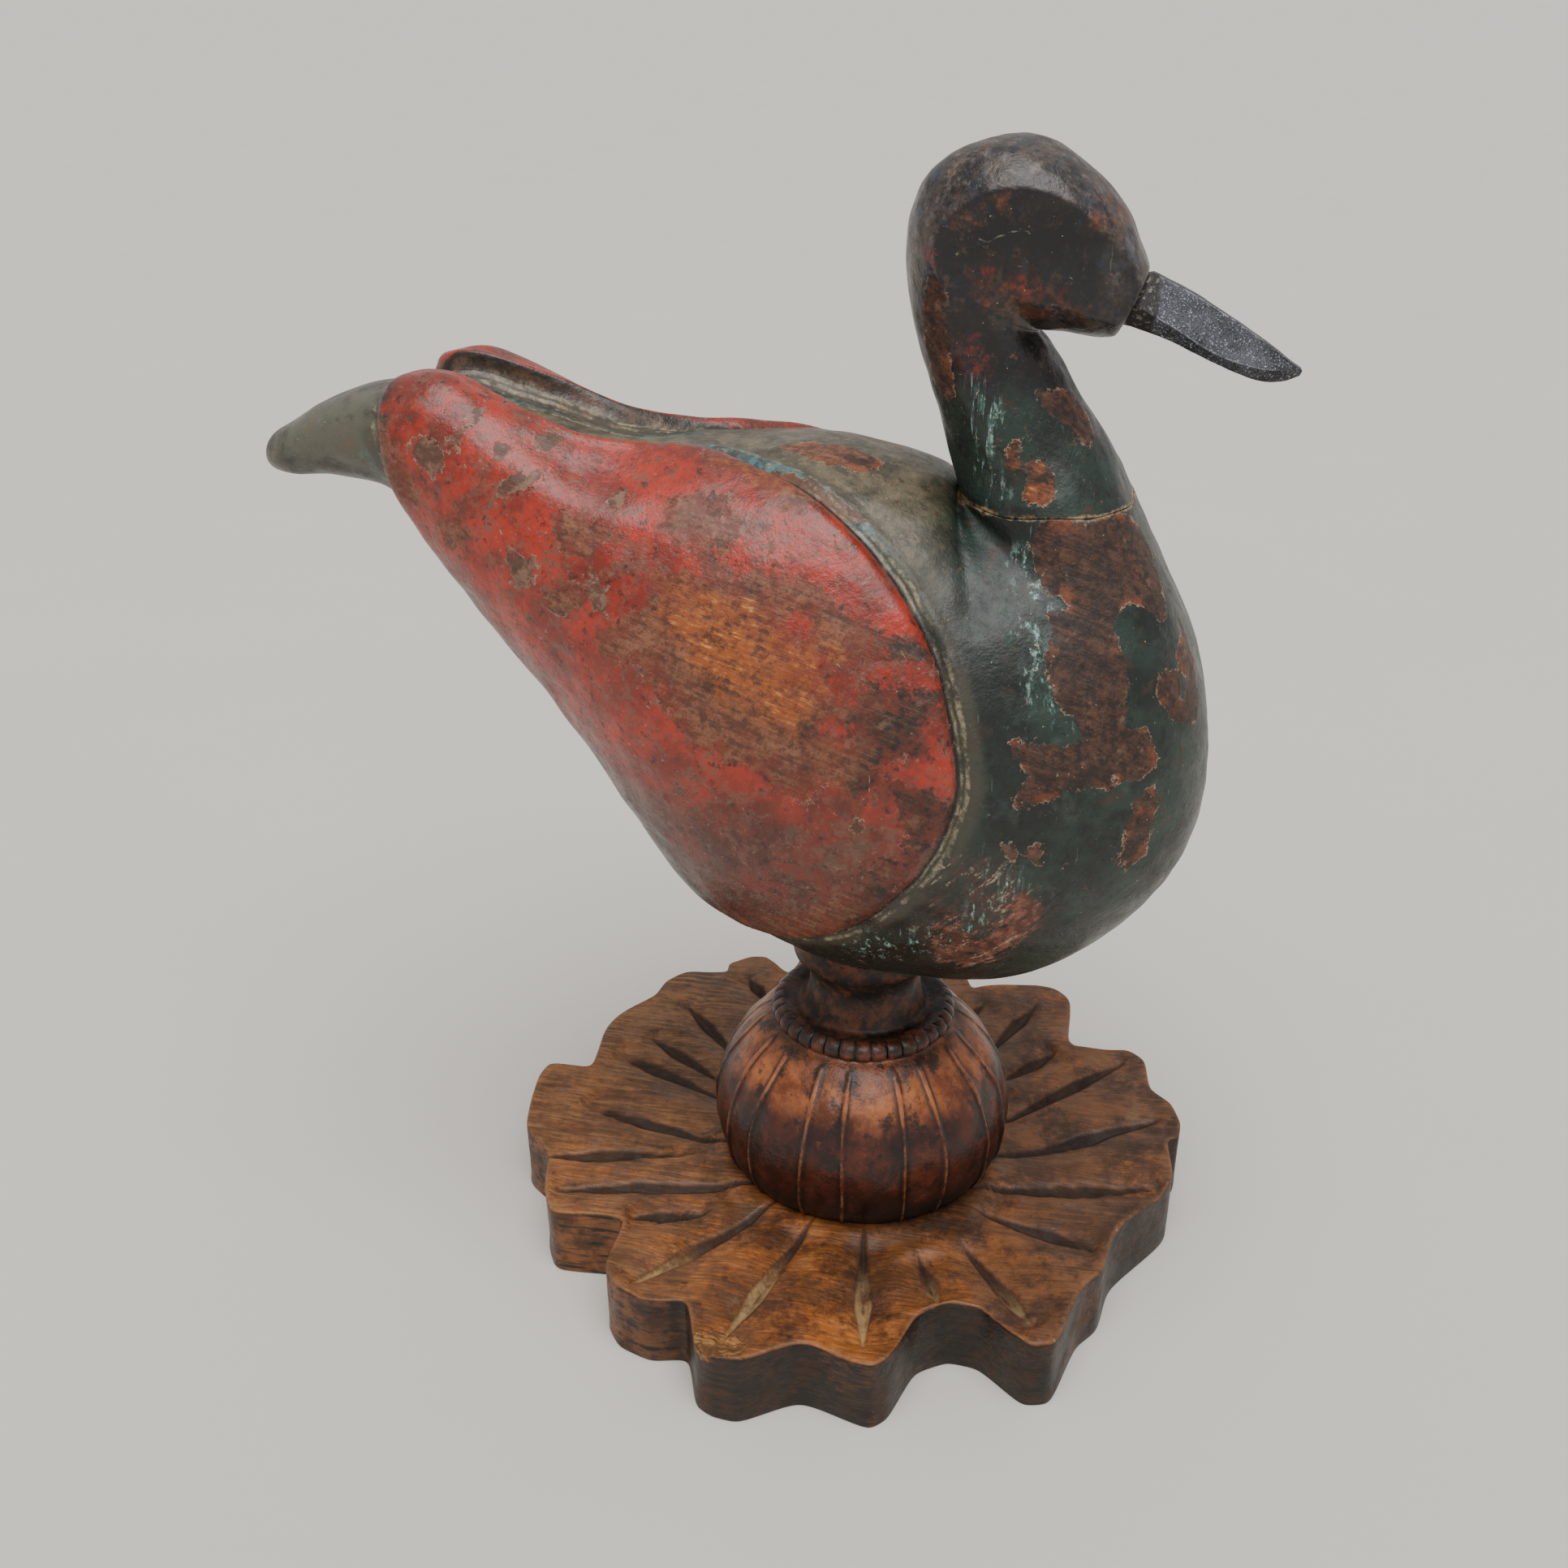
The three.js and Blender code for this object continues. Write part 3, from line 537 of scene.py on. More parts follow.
CUTS = np.array([
    [174, 36, 167, 62], [204, 33, 186, 62], [206, 44, 200, 71], [232, 34, 210, 69],
    [231, 47, 224, 59], [245, 38, 238, 69], [261, 41, 257, 71], [279.5, 41.5, 279, 67],
    [294, 47, 294, 58], [307, 49, 307.5, 69], [321, 42, 329, 62], [330, 36, 351, 66],
    [348, 33, 11, 67], [14, 35, 30, 67], [36, 40, 40, 55], [52, 46, 56, 65],
    [68, 40, 66, 58], [84, 38, 82, 68], [102, 40, 104, 67], [125, 54, 125, 65],
    [149, 41, 143, 62], [164, 39, 158, 59],
])
CUT_PROFILE = [[-0.35, 0], [0, 0.45], [0.6, 1], [1, 0.35], [1.15, 0]]
PETAL_SLOPE, PETAL_SLOPE_REACH = 1.5, 5.5


def polar(degrees, distance):
    """x and y of a point at an angle from +X and a distance from the base's middle."""
    angle = np.radians(degrees)
    return BASE_MIDDLE + np.stack([np.cos(angle), np.sin(angle)], -1) * np.asarray(distance)[..., None]


def cut_share(spots):
    """How deep the deepest cut is at each spot, from 0 to 1: the share follows the cut's profile along it, and
    falls to 0 across the cut's half width, which swells in the same way. Beside it comes how far the petal
    slopes down towards its cuts, a bell curve of the distance across."""
    depth = np.zeros(spots.shape[:-1])
    slope = np.zeros(spots.shape[:-1])
    for inner_degrees, inner, outer_degrees, outer in CUTS:
        start, end = polar(inner_degrees, inner), polar(outer_degrees, outer)
        along = end - start
        length = np.linalg.norm(along)
        along = along / length
        offset = spots - start
        run = offset @ along
        share = np.interp(run / length, *np.transpose(CUT_PROFILE))
        ends = smoothstep(run, -0.35 * length, 0) * (1 - smoothstep(run, length, 1.15 * length))
        across = np.abs(offset @ [-along[1], along[0]])
        wall = np.clip(1 - across / (CUT_HALF_WIDTH * np.maximum(share, 0.12)), 0, 1)
        depth = np.maximum(depth, share * wall)
        slope = np.maximum(slope, ends * np.exp(-((across / PETAL_SLOPE_REACH) ** 2)))
    return depth, slope


petals = np.array(PETALS, float)
outline = rounded_outline(np.concatenate([polar(petals[:, 0], petals[:, 1]), np.zeros((len(petals), 1))], 1), 2.5, 12)
out = outline[:, :2] - BASE_MIDDLE
reach = np.linalg.norm(out, axis=1, keepdims=True)
direction = out / reach
print(f"base outline: {len(outline)} points, {reach.min():.1f} to {reach.max():.1f} mm from its middle")
CHIP = polar(257, 74.5)
quarter = np.radians(np.array([0, 22, 45, 67, 90]))
inset_height = [(BOTTOM_EDGE_WEAR, 0.0), (0.1, 0.12), (0.0, BOTTOM_EDGE_WEAR)]
inset_height += [(0.0, z) for z in (3, 6, 9, 12, 14.5)]
inset_height += [(TOP_EDGE_WEAR * (1 - math.cos(a)), BASE_THICKNESS - TOP_EDGE_WEAR * (1 - math.sin(a))) for a in quarter]
shares = np.linspace(0, 1, 126)[1:] ** 0.9
rings = [np.concatenate([BASE_MIDDLE + direction * (reach - inset), np.full_like(reach, z)], 1) for inset, z in inset_height]
rings += [np.concatenate([BASE_MIDDLE + direction * ((reach - TOP_EDGE_WEAR) * (1 - s) + 3 * s), np.full_like(reach, 17.0)], 1)
          for s in shares]
base_rings = np.array(rings)
spots = base_rings[..., :2]
edge_gap = np.concatenate([distance_to_line(ring, outline[:, :2], True)[None] for ring in spots])
base_cut, petal_slope = cut_share(spots)
base_cut = base_cut * (base_rings[..., 2] > 14)
upper = smoothstep(base_rings[..., 2], 10, 17)
chip = np.clip(1 - np.linalg.norm((spots - CHIP) / [6.5, 4.5], axis=-1), 0, 1) * upper
dish = 0.25 * waves(base_rings, 30, 12) + 0.07 * waves(base_rings, 6, 13)
lower = CUT_DEPTH * base_cut + upper * (0.25 - np.minimum(dish, 0.25) + PETAL_SLOPE * petal_slope) * smoothstep(np.hypot(spots[..., 0], spots[..., 1]), 30, 36)
base_rings[..., 2] -= lower + 1.1 * smoothstep(chip, 0, 0.5) * (0.7 + 0.3 * waves(base_rings, 3, 14))
wall = smoothstep(base_rings[..., 2], 0.5, 2) * (1 - smoothstep(base_rings[..., 2], 15, 17))
base_rings[..., :2] -= np.broadcast_to(direction, spots.shape) * (wall * (0.12 + 0.12 * waves(base_rings * [1, 1, 0.3], 9, 15)))[..., None]


# %% [markdown]
# ## Where the paint has gone
#
# Oil paint on a handled carving goes first where hands and shelves touch it: the middle of the wings, the
# shoulder, the chest and the nape. The main bare patches are drawn as outlines on the surface, in
# [place, turn]. Where paint still stands inside a patch, an island is drawn and taken out of it again.
# The ragged small edge of each flake is left to noise in the material.

# %% Outlines of bare wood on the body
BODY_BARE = [
    [[9.9, 318], [10.5, 312], [11.5, 311], [12, 306], [12.7, 307], [13.2, 306], [13.6, 292], [13.5, 275],
     [13.2, 266], [12.9, 265], [12.5, 277], [12.3, 273], [11.8, 273], [11.2, 268], [10.8, 271], [10, 272],
     [9.2, 276], [8.5, 269], [8.6, 278], [9.1, 289], [9.6, 302], [9.9, 308]],
    [[9.5, 315], [9.7, 324], [10.4, 324], [10.5, 316], [10.2, 314]],
    [[8, 272], [8.2, 282], [8.6, 290], [8.8, 290], [8.3, 277]],
    [[4.6, 297], [4.9, 300], [5.2, 290], [5.4, 278], [5.9, 268], [6.3, 267], [6.6, 268], [6.8, 272],
     [6.8, 263], [6.6, 251], [6.3, 249], [5.8, 250], [5.2, 262], [4.6, 275]],
    [[12.9, 272], [13.6, 272], [13.5, 267], [13.1, 260], [12.6, 250], [12.1, 242], [11.6, 232], [11, 222],
     [10.4, 214], [10.6, 224], [11.4, 239], [12, 252], [12.4, 261], [12.8, 262]],
    [[9.6, 339], [10.1, 344], [10.6, 343], [11.4, 335], [12, 329], [11.4, 326], [10.7, 328], [10.3, 334]],
    [[10.5, 356], [11.4, 356], [11.9, 352], [11.7, 346], [11.1, 346], [10.8, 350]],
    [[19.5, 288], [19.95, 272], [19.95, 251], [19.95, 220], [19.8, 201], [19.5, 209], [19.2, 221], [19.1, 232],
     [19.2, 245], [18.9, 260], [18.4, 260], [17.6, 261], [17.3, 261], [17.6, 252], [17.3, 246], [16.9, 251],
     [16.7, 259], [16.4, 261], [16, 267], [15.2, 270], [14.8, 272], [15.2, 277], [15.1, 282], [15.3, 284],
     [15.8, 281], [16.2, 276], [16.7, 274], [16.6, 286], [17, 293], [17.6, 292], [18, 294], [18.6, 286],
     [18.6, 297]],
    [[19.1, 205], [18.9, 204], [18.6, 206], [18.2, 213], [18, 224], [18.1, 233], [18.4, 224], [18.7, 226]],
    [[18.4, 243], [18.5, 228], [18, 235], [18.1, 245]],
    [[16.6, 249], [17, 244], [16.8, 238], [16.5, 243]],
    [[13.2, 242], [13.9, 241], [14.4, 250], [14.7, 243], [14.4, 234], [13.9, 228], [13.4, 221], [13, 230]],
    [[16.5, 247], [16.9, 243], [16.5, 237], [15.9, 237], [16.2, 244]],
    [[9, 58], [9.8, 44], [10.9, 42], [11.6, 50], [12.5, 52], [13, 64], [12.7, 80], [12.2, 86], [11.6, 82],
     [11.2, 92], [10.4, 98], [9.9, 88], [10.2, 78], [9.4, 74], [8.7, 68]],
    [[12.6, 110], [13.2, 98], [13.5, 84], [13.6, 100], [12.9, 116], [12, 124]],
    [[18.9, 84], [19.5, 92], [19.3, 112], [18.2, 120], [17.3, 108], [17.1, 92], [18, 88]],
    [[15.6, 96], [16.3, 88], [16.6, 100], [15.9, 108]],
    [[16.2, 160], [17.2, 152], [17.8, 164], [16.9, 176]],
    [[8.03, 297], [8.2, 303], [8.45, 306], [8.7, 309], [8.96, 310], [8.83, 305], [8.67, 298], [8.56, 292],
     [8.34, 289], [8.14, 289], [8.03, 292]],
]
BODY_CHIPS = [
    [[5.74, 284], [5.99, 292], [6.3, 293], [6.39, 288], [6.25, 278], [6.03, 278]],
    [[7.27, 292], [7.39, 301], [7.54, 304], [7.69, 308], [7.74, 308], [7.61, 302], [7.43, 296]],
    [[7.41, 276], [7.56, 276], [7.74, 281], [7.8, 278], [7.69, 272], [7.58, 266], [7.49, 268], [7.39, 271]],
    [[7.96, 269], [8.14, 278], [8.29, 279], [8.18, 272], [8.01, 268]],
    [[8.47, 286], [8.65, 291], [8.83, 290], [8.7, 284], [8.5, 283]],
    [[6.47, 299], [6.61, 303], [6.6, 296], [6.44, 293]],
    [[6.67, 313], [6.73, 318], [6.84, 318], [6.77, 312]],
    [[7.47, 321], [7.61, 329], [7.8, 330], [7.7, 318], [7.56, 318]],
    [[8.68, 317], [8.76, 322], [8.86, 318], [8.74, 313]],
    [[7.08, 305], [7.16, 308], [7.22, 307], [7.16, 303]],
    [[9.94, 325], [10.01, 329], [10.2, 328], [10.21, 323], [10.07, 321]],
    [[10.67, 317], [10.76, 319], [10.85, 317], [10.75, 314]],
    [[12.14, 267.5], [12.23, 266], [12.16, 264.5], [12.08, 266]],
    [[14.3, 263], [14.6, 262], [14.5, 258]],
    [[14.7, 260], [15, 260], [14.9, 256]],
    [[7.2, 66], [7.9, 60], [8.1, 74], [7.5, 82]],
    [[5.8, 74], [6.3, 66], [6.5, 80], [6.1, 88]],
    [[9.2, 112], [9.5, 108], [9.7, 116], [9.4, 120]],
    [[11.2, 118], [11.5, 112], [11.7, 120], [11.4, 126]],
    [[8.3, 96], [8.5, 92], [8.6, 99], [8.4, 102]],
]
BODY_PAINT_LEFT = [
    [[11.07, 302], [11.32, 306], [11.51, 304], [11.51, 300], [12.32, 300], [13.27, 300], [13.49, 297],
     [12.36, 294], [11.91, 290], [11.56, 291], [11.27, 297]],
    [[13.3, 291], [13.7, 291], [13.5, 284], [13.3, 285]],
    [[12.5, 281], [13, 283], [13.2, 280], [12.8, 277], [12.4, 277]],
    [[11.7, 286.5], [11.9, 286.5], [11.9, 284], [11.7, 284]],
    [[11.3, 50], [11.9, 55], [11.8, 63], [11.3, 58]],
    [[18.4, 100], [18.7, 96], [18.7, 106], [18.3, 108]],
]
OCHRE_FIELDS = [
    [[9.8, 302], [10.6, 305], [11.1, 301], [11.6, 295], [11.3, 286], [10.9, 281], [10.4, 284], [9.8, 291]],
    [[9.7, 58], [10.5, 54], [10.9, 62], [11.7, 68], [11.9, 78], [11.2, 82], [10.6, 74], [10, 68]],
    [[9.8, 340], [10.6, 340], [11, 334], [10.5, 330]],
]
SCUFFED_FIELDS = [[[13.2, 262], [13.9, 261], [14.4, 256], [14.7, 243], [14.4, 232], [13.9, 224], [13.2, 222],
                   [12.9, 240]]]
PALE_FIELDS = [
    [[17.6, 306], [18.7, 308], [19.2, 298], [18.6, 292], [17.4, 294], [16.6, 288], [16, 290], [16.7, 302]],
    [[13.2, 240], [14.1, 258], [14.5, 252], [13.6, 236], [12.6, 226], [11.8, 224], [12, 236]],
    [[16.2, 286], [16.5, 288], [16.5, 280], [16.2, 280]],
]
HEAD_BARE = [
    [[1.64, 286], [1.97, 277], [2.07, 270], [1.68, 272], [1.74, 264], [1.59, 256], [1.08, 261], [0.51, 270],
     [0.61, 279], [1.04, 279], [1.42, 276], [1.38, 286]],
    [[2.99, 240], [3.05, 226], [3, 207], [2.68, 202], [2.21, 198], [1.93, 214], [2.05, 222], [2.35, 229],
     [2.58, 237]],
    [[5.4, 305], [5.6, 293], [5.1, 286], [4.5, 290], [3.9, 292], [3.4, 301], [2.9, 306], [2.6, 320],
     [2.65, 332], [3.1, 335], [3.9, 320], [4.7, 314]],
    [[2.8, 70], [3, 52], [2.5, 44], [2, 58], [2.2, 72]],
    [[1.4, 118], [1.6, 104], [1, 98], [0.7, 112]],
    [[5.2, 60], [5.5, 72], [4.6, 74], [3.9, 60]],
]
HEAD_RUBBED = [
    [[7.6, 306], [8.1, 302], [8.4, 295], [8, 290], [7.6, 294]],
    [[8.4, 302], [8.9, 300], [9.3, 296], [9, 292], [8.5, 296]],
    [[6, 254], [7.2, 240], [8.3, 230], [8.9, 222], [9.8, 224], [10.9, 238], [11.1, 232], [9.7, 214],
     [7.5, 214], [5.9, 239]],
    [[11, 318], [11.6, 350], [12.2, 352], [11.8, 326], [11.2, 310]],
    [[9.4, 40], [10, 60], [10.8, 66], [10.2, 36]],
    [[7.4, 60], [8.1, 66], [8.2, 84], [7.5, 80]],
]
HEAD_RED = [
    [[6, 310], [6.5, 298], [6.2, 294], [5.9, 306]],
    [[7.1, 261], [7.5, 259], [7.4, 255], [7.1, 257]],
    [[8.2, 244], [8.7, 244], [9.1, 231], [8.5, 227], [8.3, 236]],
    [[9.3, 229], [9.9, 236], [10.3, 240], [10, 229], [9.3, 222]],
    [[4.1, 286], [4.2, 269], [3.6, 261], [3.3, 270], [3.2, 283], [3.4, 293]],
    [[8.8, 110], [9.4, 122], [9, 130], [8.4, 118]],
]
HEAD_PALE = [
    [[3, 294], [3.1, 280], [2.7, 274], [2.1, 280], [1.5, 294], [1.6, 308], [2.3, 306]],
    [[1.3, 300], [1.6, 316], [0.4, 312], [0.3, 296]],
]
HEAD_CRACKS = [[[6.9, 282], [7.4, 280], [7.9, 277], [8.4, 278], [8.7, 279], [9.1, 281], [9.3, 279]],
               [[7.7, 285], [8, 278]]]
BODY_CRACKS = [
    [[11.38, 271], [11.58, 273], [11.81, 272], [12.12, 272], [12.27, 273], [12.32, 276], [12.29, 278]],
    [[11.6, 295], [11.76, 297], [11.87, 296]],
    [[6.7, 295], [6.78, 290], [6.76, 282]],
    [[6.69, 278], [6.59, 272]],
    [[7.54, 289], [7.49, 283], [7.43, 277]],
    [[7.27, 282], [7.36, 278]],
    [[7.39, 296], [7.49, 301], [7.59, 305], [7.72, 308]],
    [[7.8, 303], [7.87, 306]],
    [[9.27, 270], [9.4, 270.5], [9.5, 270]],
    [[12.69, 303], [12.85, 301], [13.09, 300]],
    [[10.4, 336], [10.45, 332], [10.54, 329]],
    [[8.96, 272], [9.2, 276], [9.38, 277], [9.61, 279]],
    [[10.2, 84], [10.5, 86], [10.9, 85]],
]


def patches(surface, grid, points, outlines):
    """The greatest of the signed distances to several outlines: how deep a point lies in any of them."""
    return np.max([outline_distance(surface, grid, points, corners) for corners in outlines], axis=0)


def cracks(surface, points, lines):
    """Distance to the nearest of several open lines, at most 9 mm."""
    flat = points.reshape(-1, 3)
    gaps = [distance_to_line(flat, surface(*smooth_rows(line, np.linspace(0, len(line) - 1, 30)).T), False)
            for line in lines]
    return np.minimum(np.min(gaps, axis=0), 9).reshape(points.shape[:2])


body_bare = np.minimum(patches(body_point, body_grid, body_smooth, BODY_BARE),
                       -patches(body_point, body_grid, body_smooth, BODY_PAINT_LEFT))
head_grid = (head_place, head_turn)
far = np.full(head_place.shape, -30.0)
none = np.zeros(head_place.shape)
body_fields = {
    "wing": wing_distance, "bare": body_bare, "joint": body_joint,
    "chip": patches(body_point, body_grid, body_smooth, BODY_CHIPS),
    "ochre": smoothstep(patches(body_point, body_grid, body_smooth, OCHRE_FIELDS), -9, 5),
    "pale": smoothstep(patches(body_point, body_grid, body_smooth, PALE_FIELDS), -3, 4),
    "crack": cracks(body_point, body_smooth, BODY_CRACKS),
    "red": np.full(place.shape, -9.0), "rubbed": np.full(place.shape, -9.0),
    "back": (1 - smoothstep(half_turn, 34, 60)) * smoothstep(place, 4.2, 5.2) * (1 - smoothstep(place, 12, 15)),
    "tail": 1 - smoothstep(place + 0.3 * waves(body_smooth, 9, 21), 4.4, 5.6),
    # low: dark paint on the underside and the lower rear, partly a painted shade on the side turned away from the light
    "low": np.maximum(1 - smoothstep(body_smooth[..., 2], 66, 80),
                      smoothstep(half_turn, 122, 140) * (1 - smoothstep(place, 10, 12))),
    "end": 1 - smoothstep(place + 0.1 * waves(body_smooth, 4, 31), 5.0, 5.3),
    "vivid": smoothstep(body_smooth[..., 2], 96, 146),
    "dark": np.zeros(place.shape), "crest": wing_crest, "crown": np.zeros(place.shape),
    "scuff": smoothstep(patches(body_point, body_grid, body_smooth, SCUFFED_FIELDS), -3, 4),
    "dirt": smoothstep(place, 11.3, 12.9) * (0.4 + 0.6 * smoothstep(body_smooth[..., 2], 72, 92)),
}
head_fields = {
    "wing": far, "bare": patches(head_point, head_grid, head_smooth, HEAD_BARE), "joint": head_joint,
    "chip": none - 9,
    "ochre": 0.6 * smoothstep(patches(head_point, head_grid, head_smooth, HEAD_BARE[:1]), -4, 2),
    "pale": smoothstep(patches(head_point, head_grid, head_smooth, HEAD_PALE), -3, 4),
    "crack": cracks(head_point, head_smooth, HEAD_CRACKS),
    "red": patches(head_point, head_grid, head_smooth, HEAD_RED),
    "rubbed": patches(head_point, head_grid, head_smooth, HEAD_RUBBED),
    "back": none, "tail": none, "low": none, "vivid": none, "crest": none, "dirt": none + 1, "end": none,
    "dark": smoothstep(head_place, 1.6, 4.2), "scuff": none,
    # crown: the upward-facing top of the head, where the coat is painted lighter as a painted sheen
    "crown": (1 - smoothstep(np.abs(head_normal[..., 1]), 0.88, 0.97)) * smoothstep(head_smooth[..., 2], 192, 206),
}
ball_fields = {"rib": ball_rib, "height": ball_rings[..., 2] - BASE_THICKNESS, "along": ball_place, "bead": ball_bead}
base_fields = {"cut": base_cut, "chip": chip, "edge": edge_gap,
               # Painted light and shade: 1 towards the front and left of the base, where it is painted lighter, 0 on
               # the far side
               "lit_front": smoothstep(-0.8 * spots[..., 1] - 0.6 * spots[..., 0], 0, 50),
               # The first field marks painted light in the cuts at the front, the second painted light on the left of
               # the top and walls
               "lit_cuts": smoothstep(-spots[..., 1], 36, 52), "left": smoothstep(-spots[..., 0], 10, 55)}
corner_step = (np.arange(bill_rings.shape[1]) % BILL_CORNER_STEPS - (BILL_CORNER_STEPS - 1) / 2) / BILL_CORNER_STEPS
bill_fields = {"root": bill_rings[..., 0] - 46,
               # arris: the edges of the bill, where a highlight is painted
               "arris": np.broadcast_to(np.exp(-((corner_step / 0.12) ** 2)), bill_rings.shape[:2])}

# %% Making the five pieces
pieces = {}
built = {
    "painted_body": (body_rings, 60, body_fields), "painted_head": (head_rings, 50, head_fields),
    "grey_bill": (bill_rings, 35, bill_fields), "ribbed_ball_wood": (ball_rings, 50, ball_fields),
    "petal_base": (base_rings, 75, base_fields),
}
for name, (rings, sharp, fields) in built.items():
    points, faces = closed_tube(rings)
    pieces[name] = mesh_piece(name, points, faces, fields, sharp)

# %% [markdown]
# ## Signals: one small language for every finish
#
# A finish is worked out from numbers on the surface. A signal is such a number or colour, and signals can be
# added, subtracted and multiplied, so that a line of the recipe reads like the sentence it stands for.

# %% Colours, signals and recipes
def linear(code):
    """The linear RGBA of an sRGB hex code: v / 12.92 up to 0.04045, else ((v + 0.055) / 1.055)^2.4."""
    values = [int(code[k:k + 2], 16) / 255 for k in (0, 2, 4)]
    return (*[v / 12.92 if v <= 0.04045 else ((v + 0.055) / 1.055) ** 2.4 for v in values], 1.0)


class Signal:
    """An output of a node that takes part in sums and products with numbers and other signals."""

    def __init__(self, recipe, socket):
        self.recipe, self.socket = recipe, socket

    def math(self, operation, other, turned=False):
        first, second = (other, self) if turned else (self, other)
        return self.recipe.add("Math", {0: first, 1: second}, operation=operation)

    def __add__(self, other):
        return self.math("ADD", other)

    def __sub__(self, other):
        return self.math("SUBTRACT", other)

    def __rsub__(self, other):
        return self.math("SUBTRACT", other, True)

    def __mul__(self, other):
        return self.math("MULTIPLY", other)

    def __abs__(self):
        return self.math("ABSOLUTE", 0.0)

    __radd__, __rmul__ = __add__, __mul__


FINEST_SHOWN = 0.1


class Recipe:
    """A material under construction, with what its layers have in common."""

    def __init__(self, name, grain=(12, 1, 1), tilt=0.0):
        self.material = bpy.data.materials.new(name)
        self.material.use_nodes = True
        self.tree = self.material.node_tree
        self.tree.nodes.clear()
        self.layers = 0
        self.place = self.add("VectorMath", {0: self.add("TexCoord", out="Object"), "Scale": 1 / MM}, operation="SCALE")
        self.grain = self.add("Mapping", {"Vector": self.place, "Rotation": (0, tilt, 0), "Scale": grain},
                              vector_type="TEXTURE")

    def add(self, kind, inputs=None, out=0, **settings):
        """Adds a node with its settings and inputs, and returns one of its outputs."""
        node = self.tree.nodes.new("ShaderNode" + kind)
        for name, value in settings.items():
            setattr(node, name, value)
        for name, value in (inputs or {}).items():
            if isinstance(value, Signal):
                self.tree.links.new(value.socket, node.inputs[name])
            else:
                node.inputs[name].default_value = value
        return Signal(self, node.outputs[out]) if len(node.outputs) else node

    def field(self, name):
        return self.add("Attribute", {}, "Fac", attribute_name=name)

    def cloud(self, size, detail=3.0, rough=0.55, place=None, shift=0.0):
        """Soft noise from 0 to 1 whose patches are about size mm across. Octaves finer than a tenth of a
        millimetre don't show, so they are left out: the n-th octave is 2 size / 2^n."""
        detail = min(detail, math.log2(2 * size / FINEST_SHOWN))
        return self.add("TexNoise", {"Vector": place or self.place, "W": shift, "Scale": 0.5 / size,
                                     "Detail": detail, "Roughness": rough}, noise_dimensions="4D")

    def rise(self, signal, low, high):
        """A smooth step from 0 where the signal is at low to 1 where it is at high."""
        return self.add("MapRange", {"Value": signal, "From Min": low, "From Max": high},
                        interpolation_type="SMOOTHSTEP")

    def over(self, below, above, share):
        """One coat over another: the upper colour where the share is 1, the lower where it is 0."""
        colours = [linear(c) if isinstance(c, str) else c for c in (below, above)]
        return self.add("Mix", {0: share, 6: colours[0], 7: colours[1]}, 2, data_type="RGBA")

    def mottled(self, below, above, size, low, high, share=1.0, detail=6.0, rough=0.66, place=None):
        """A coat that stands only in clouds of its own: the share times a smooth step of new noise."""
        self.layers += 1
        cloud = self.cloud(size, detail, rough, place, 3.7 * self.layers)
        return self.over(below, above, self.rise(cloud, low, high) * share)

    def finish(self, colour, roughness, height, depth, **constants):
        """The shader: colour, roughness and a bump of so many mm from the height signal, and constants on
        the shader's own sockets."""
        bump = self.add("Bump", {"Height": height, "Distance": depth * MM, "Strength": 1.0})
        inputs = {"Base Color": colour, "Roughness": roughness, "Normal": bump}
        inputs.update({name.replace("_", " "): value for name, value in constants.items()})
        shader = self.add("BsdfPrincipled", inputs)
        self.add("OutputMaterial", {"Surface": shader})
        return self.material

# %% [markdown]
# ## Old oil paint over carved wood
#
# The layers lie in the order in which they went on: the wood with its fibres, a pale ground that shows only
# here and there as a hair-thin line where the paint ends, the paint, and then what the years added. Each bare
# patch ends where its drawn distance, made ragged by cloudy noise, passes zero. On the wings the paint wore
# away by rubbing, so the border wanders by millimetres and thin red stays in the pores. Elsewhere it chipped
# off, so the border is crisp.

# %% Bare wood
def bare_wood(r, ochre, dirt):
    """Brown wood with fibres along the grain, granular with old dirt: lighter where it was rubbed, orange and
    straw where the ochre signal is high, and nearly black-brown where the dirt signal is high."""
    fibre = r.cloud(1, 5, 0.66, r.grain)
    fine = r.cloud(0.5, 4, 0.62, r.grain, 3.0)
    grit = r.cloud(0.8, 5, 0.72, shift=1.0)
    mixed = fibre * 0.4 + grit * 0.6
    clean = r.over("4f2e1f", "86553c", r.rise(mixed, 0.42, 0.58))
    dirty = r.over("22150f", "523322", r.rise(mixed, 0.42, 0.6))
    colour = r.over(clean, dirty, dirt)
    colour = r.mottled(colour, "7a3d22", 3, 0.52, 0.66, (1 - dirt) * 0.7)
    colour = r.mottled(colour, "8b6a52", 1.6, 0.56, 0.68, 0.4)
    colour = r.mottled(colour, "20130e", 3.4, 0.52, 0.64, 0.8, detail=8)
    colour = r.over(colour, "130b08", r.rise(grit, 0.56, 0.64) * 0.6)
    colour = r.over(colour, "944714", ochre * r.rise(mixed, 0.38, 0.56) * 0.85)
    colour = r.over(colour, "b46a28", ochre * r.rise(fine * 0.6 + grit * 0.4, 0.48, 0.62) * 0.6)
    return r.over(colour, "d6a560", ochre * r.rise(fine * 0.5 + grit * 0.5, 0.57, 0.64) * 0.5), fibre, grit


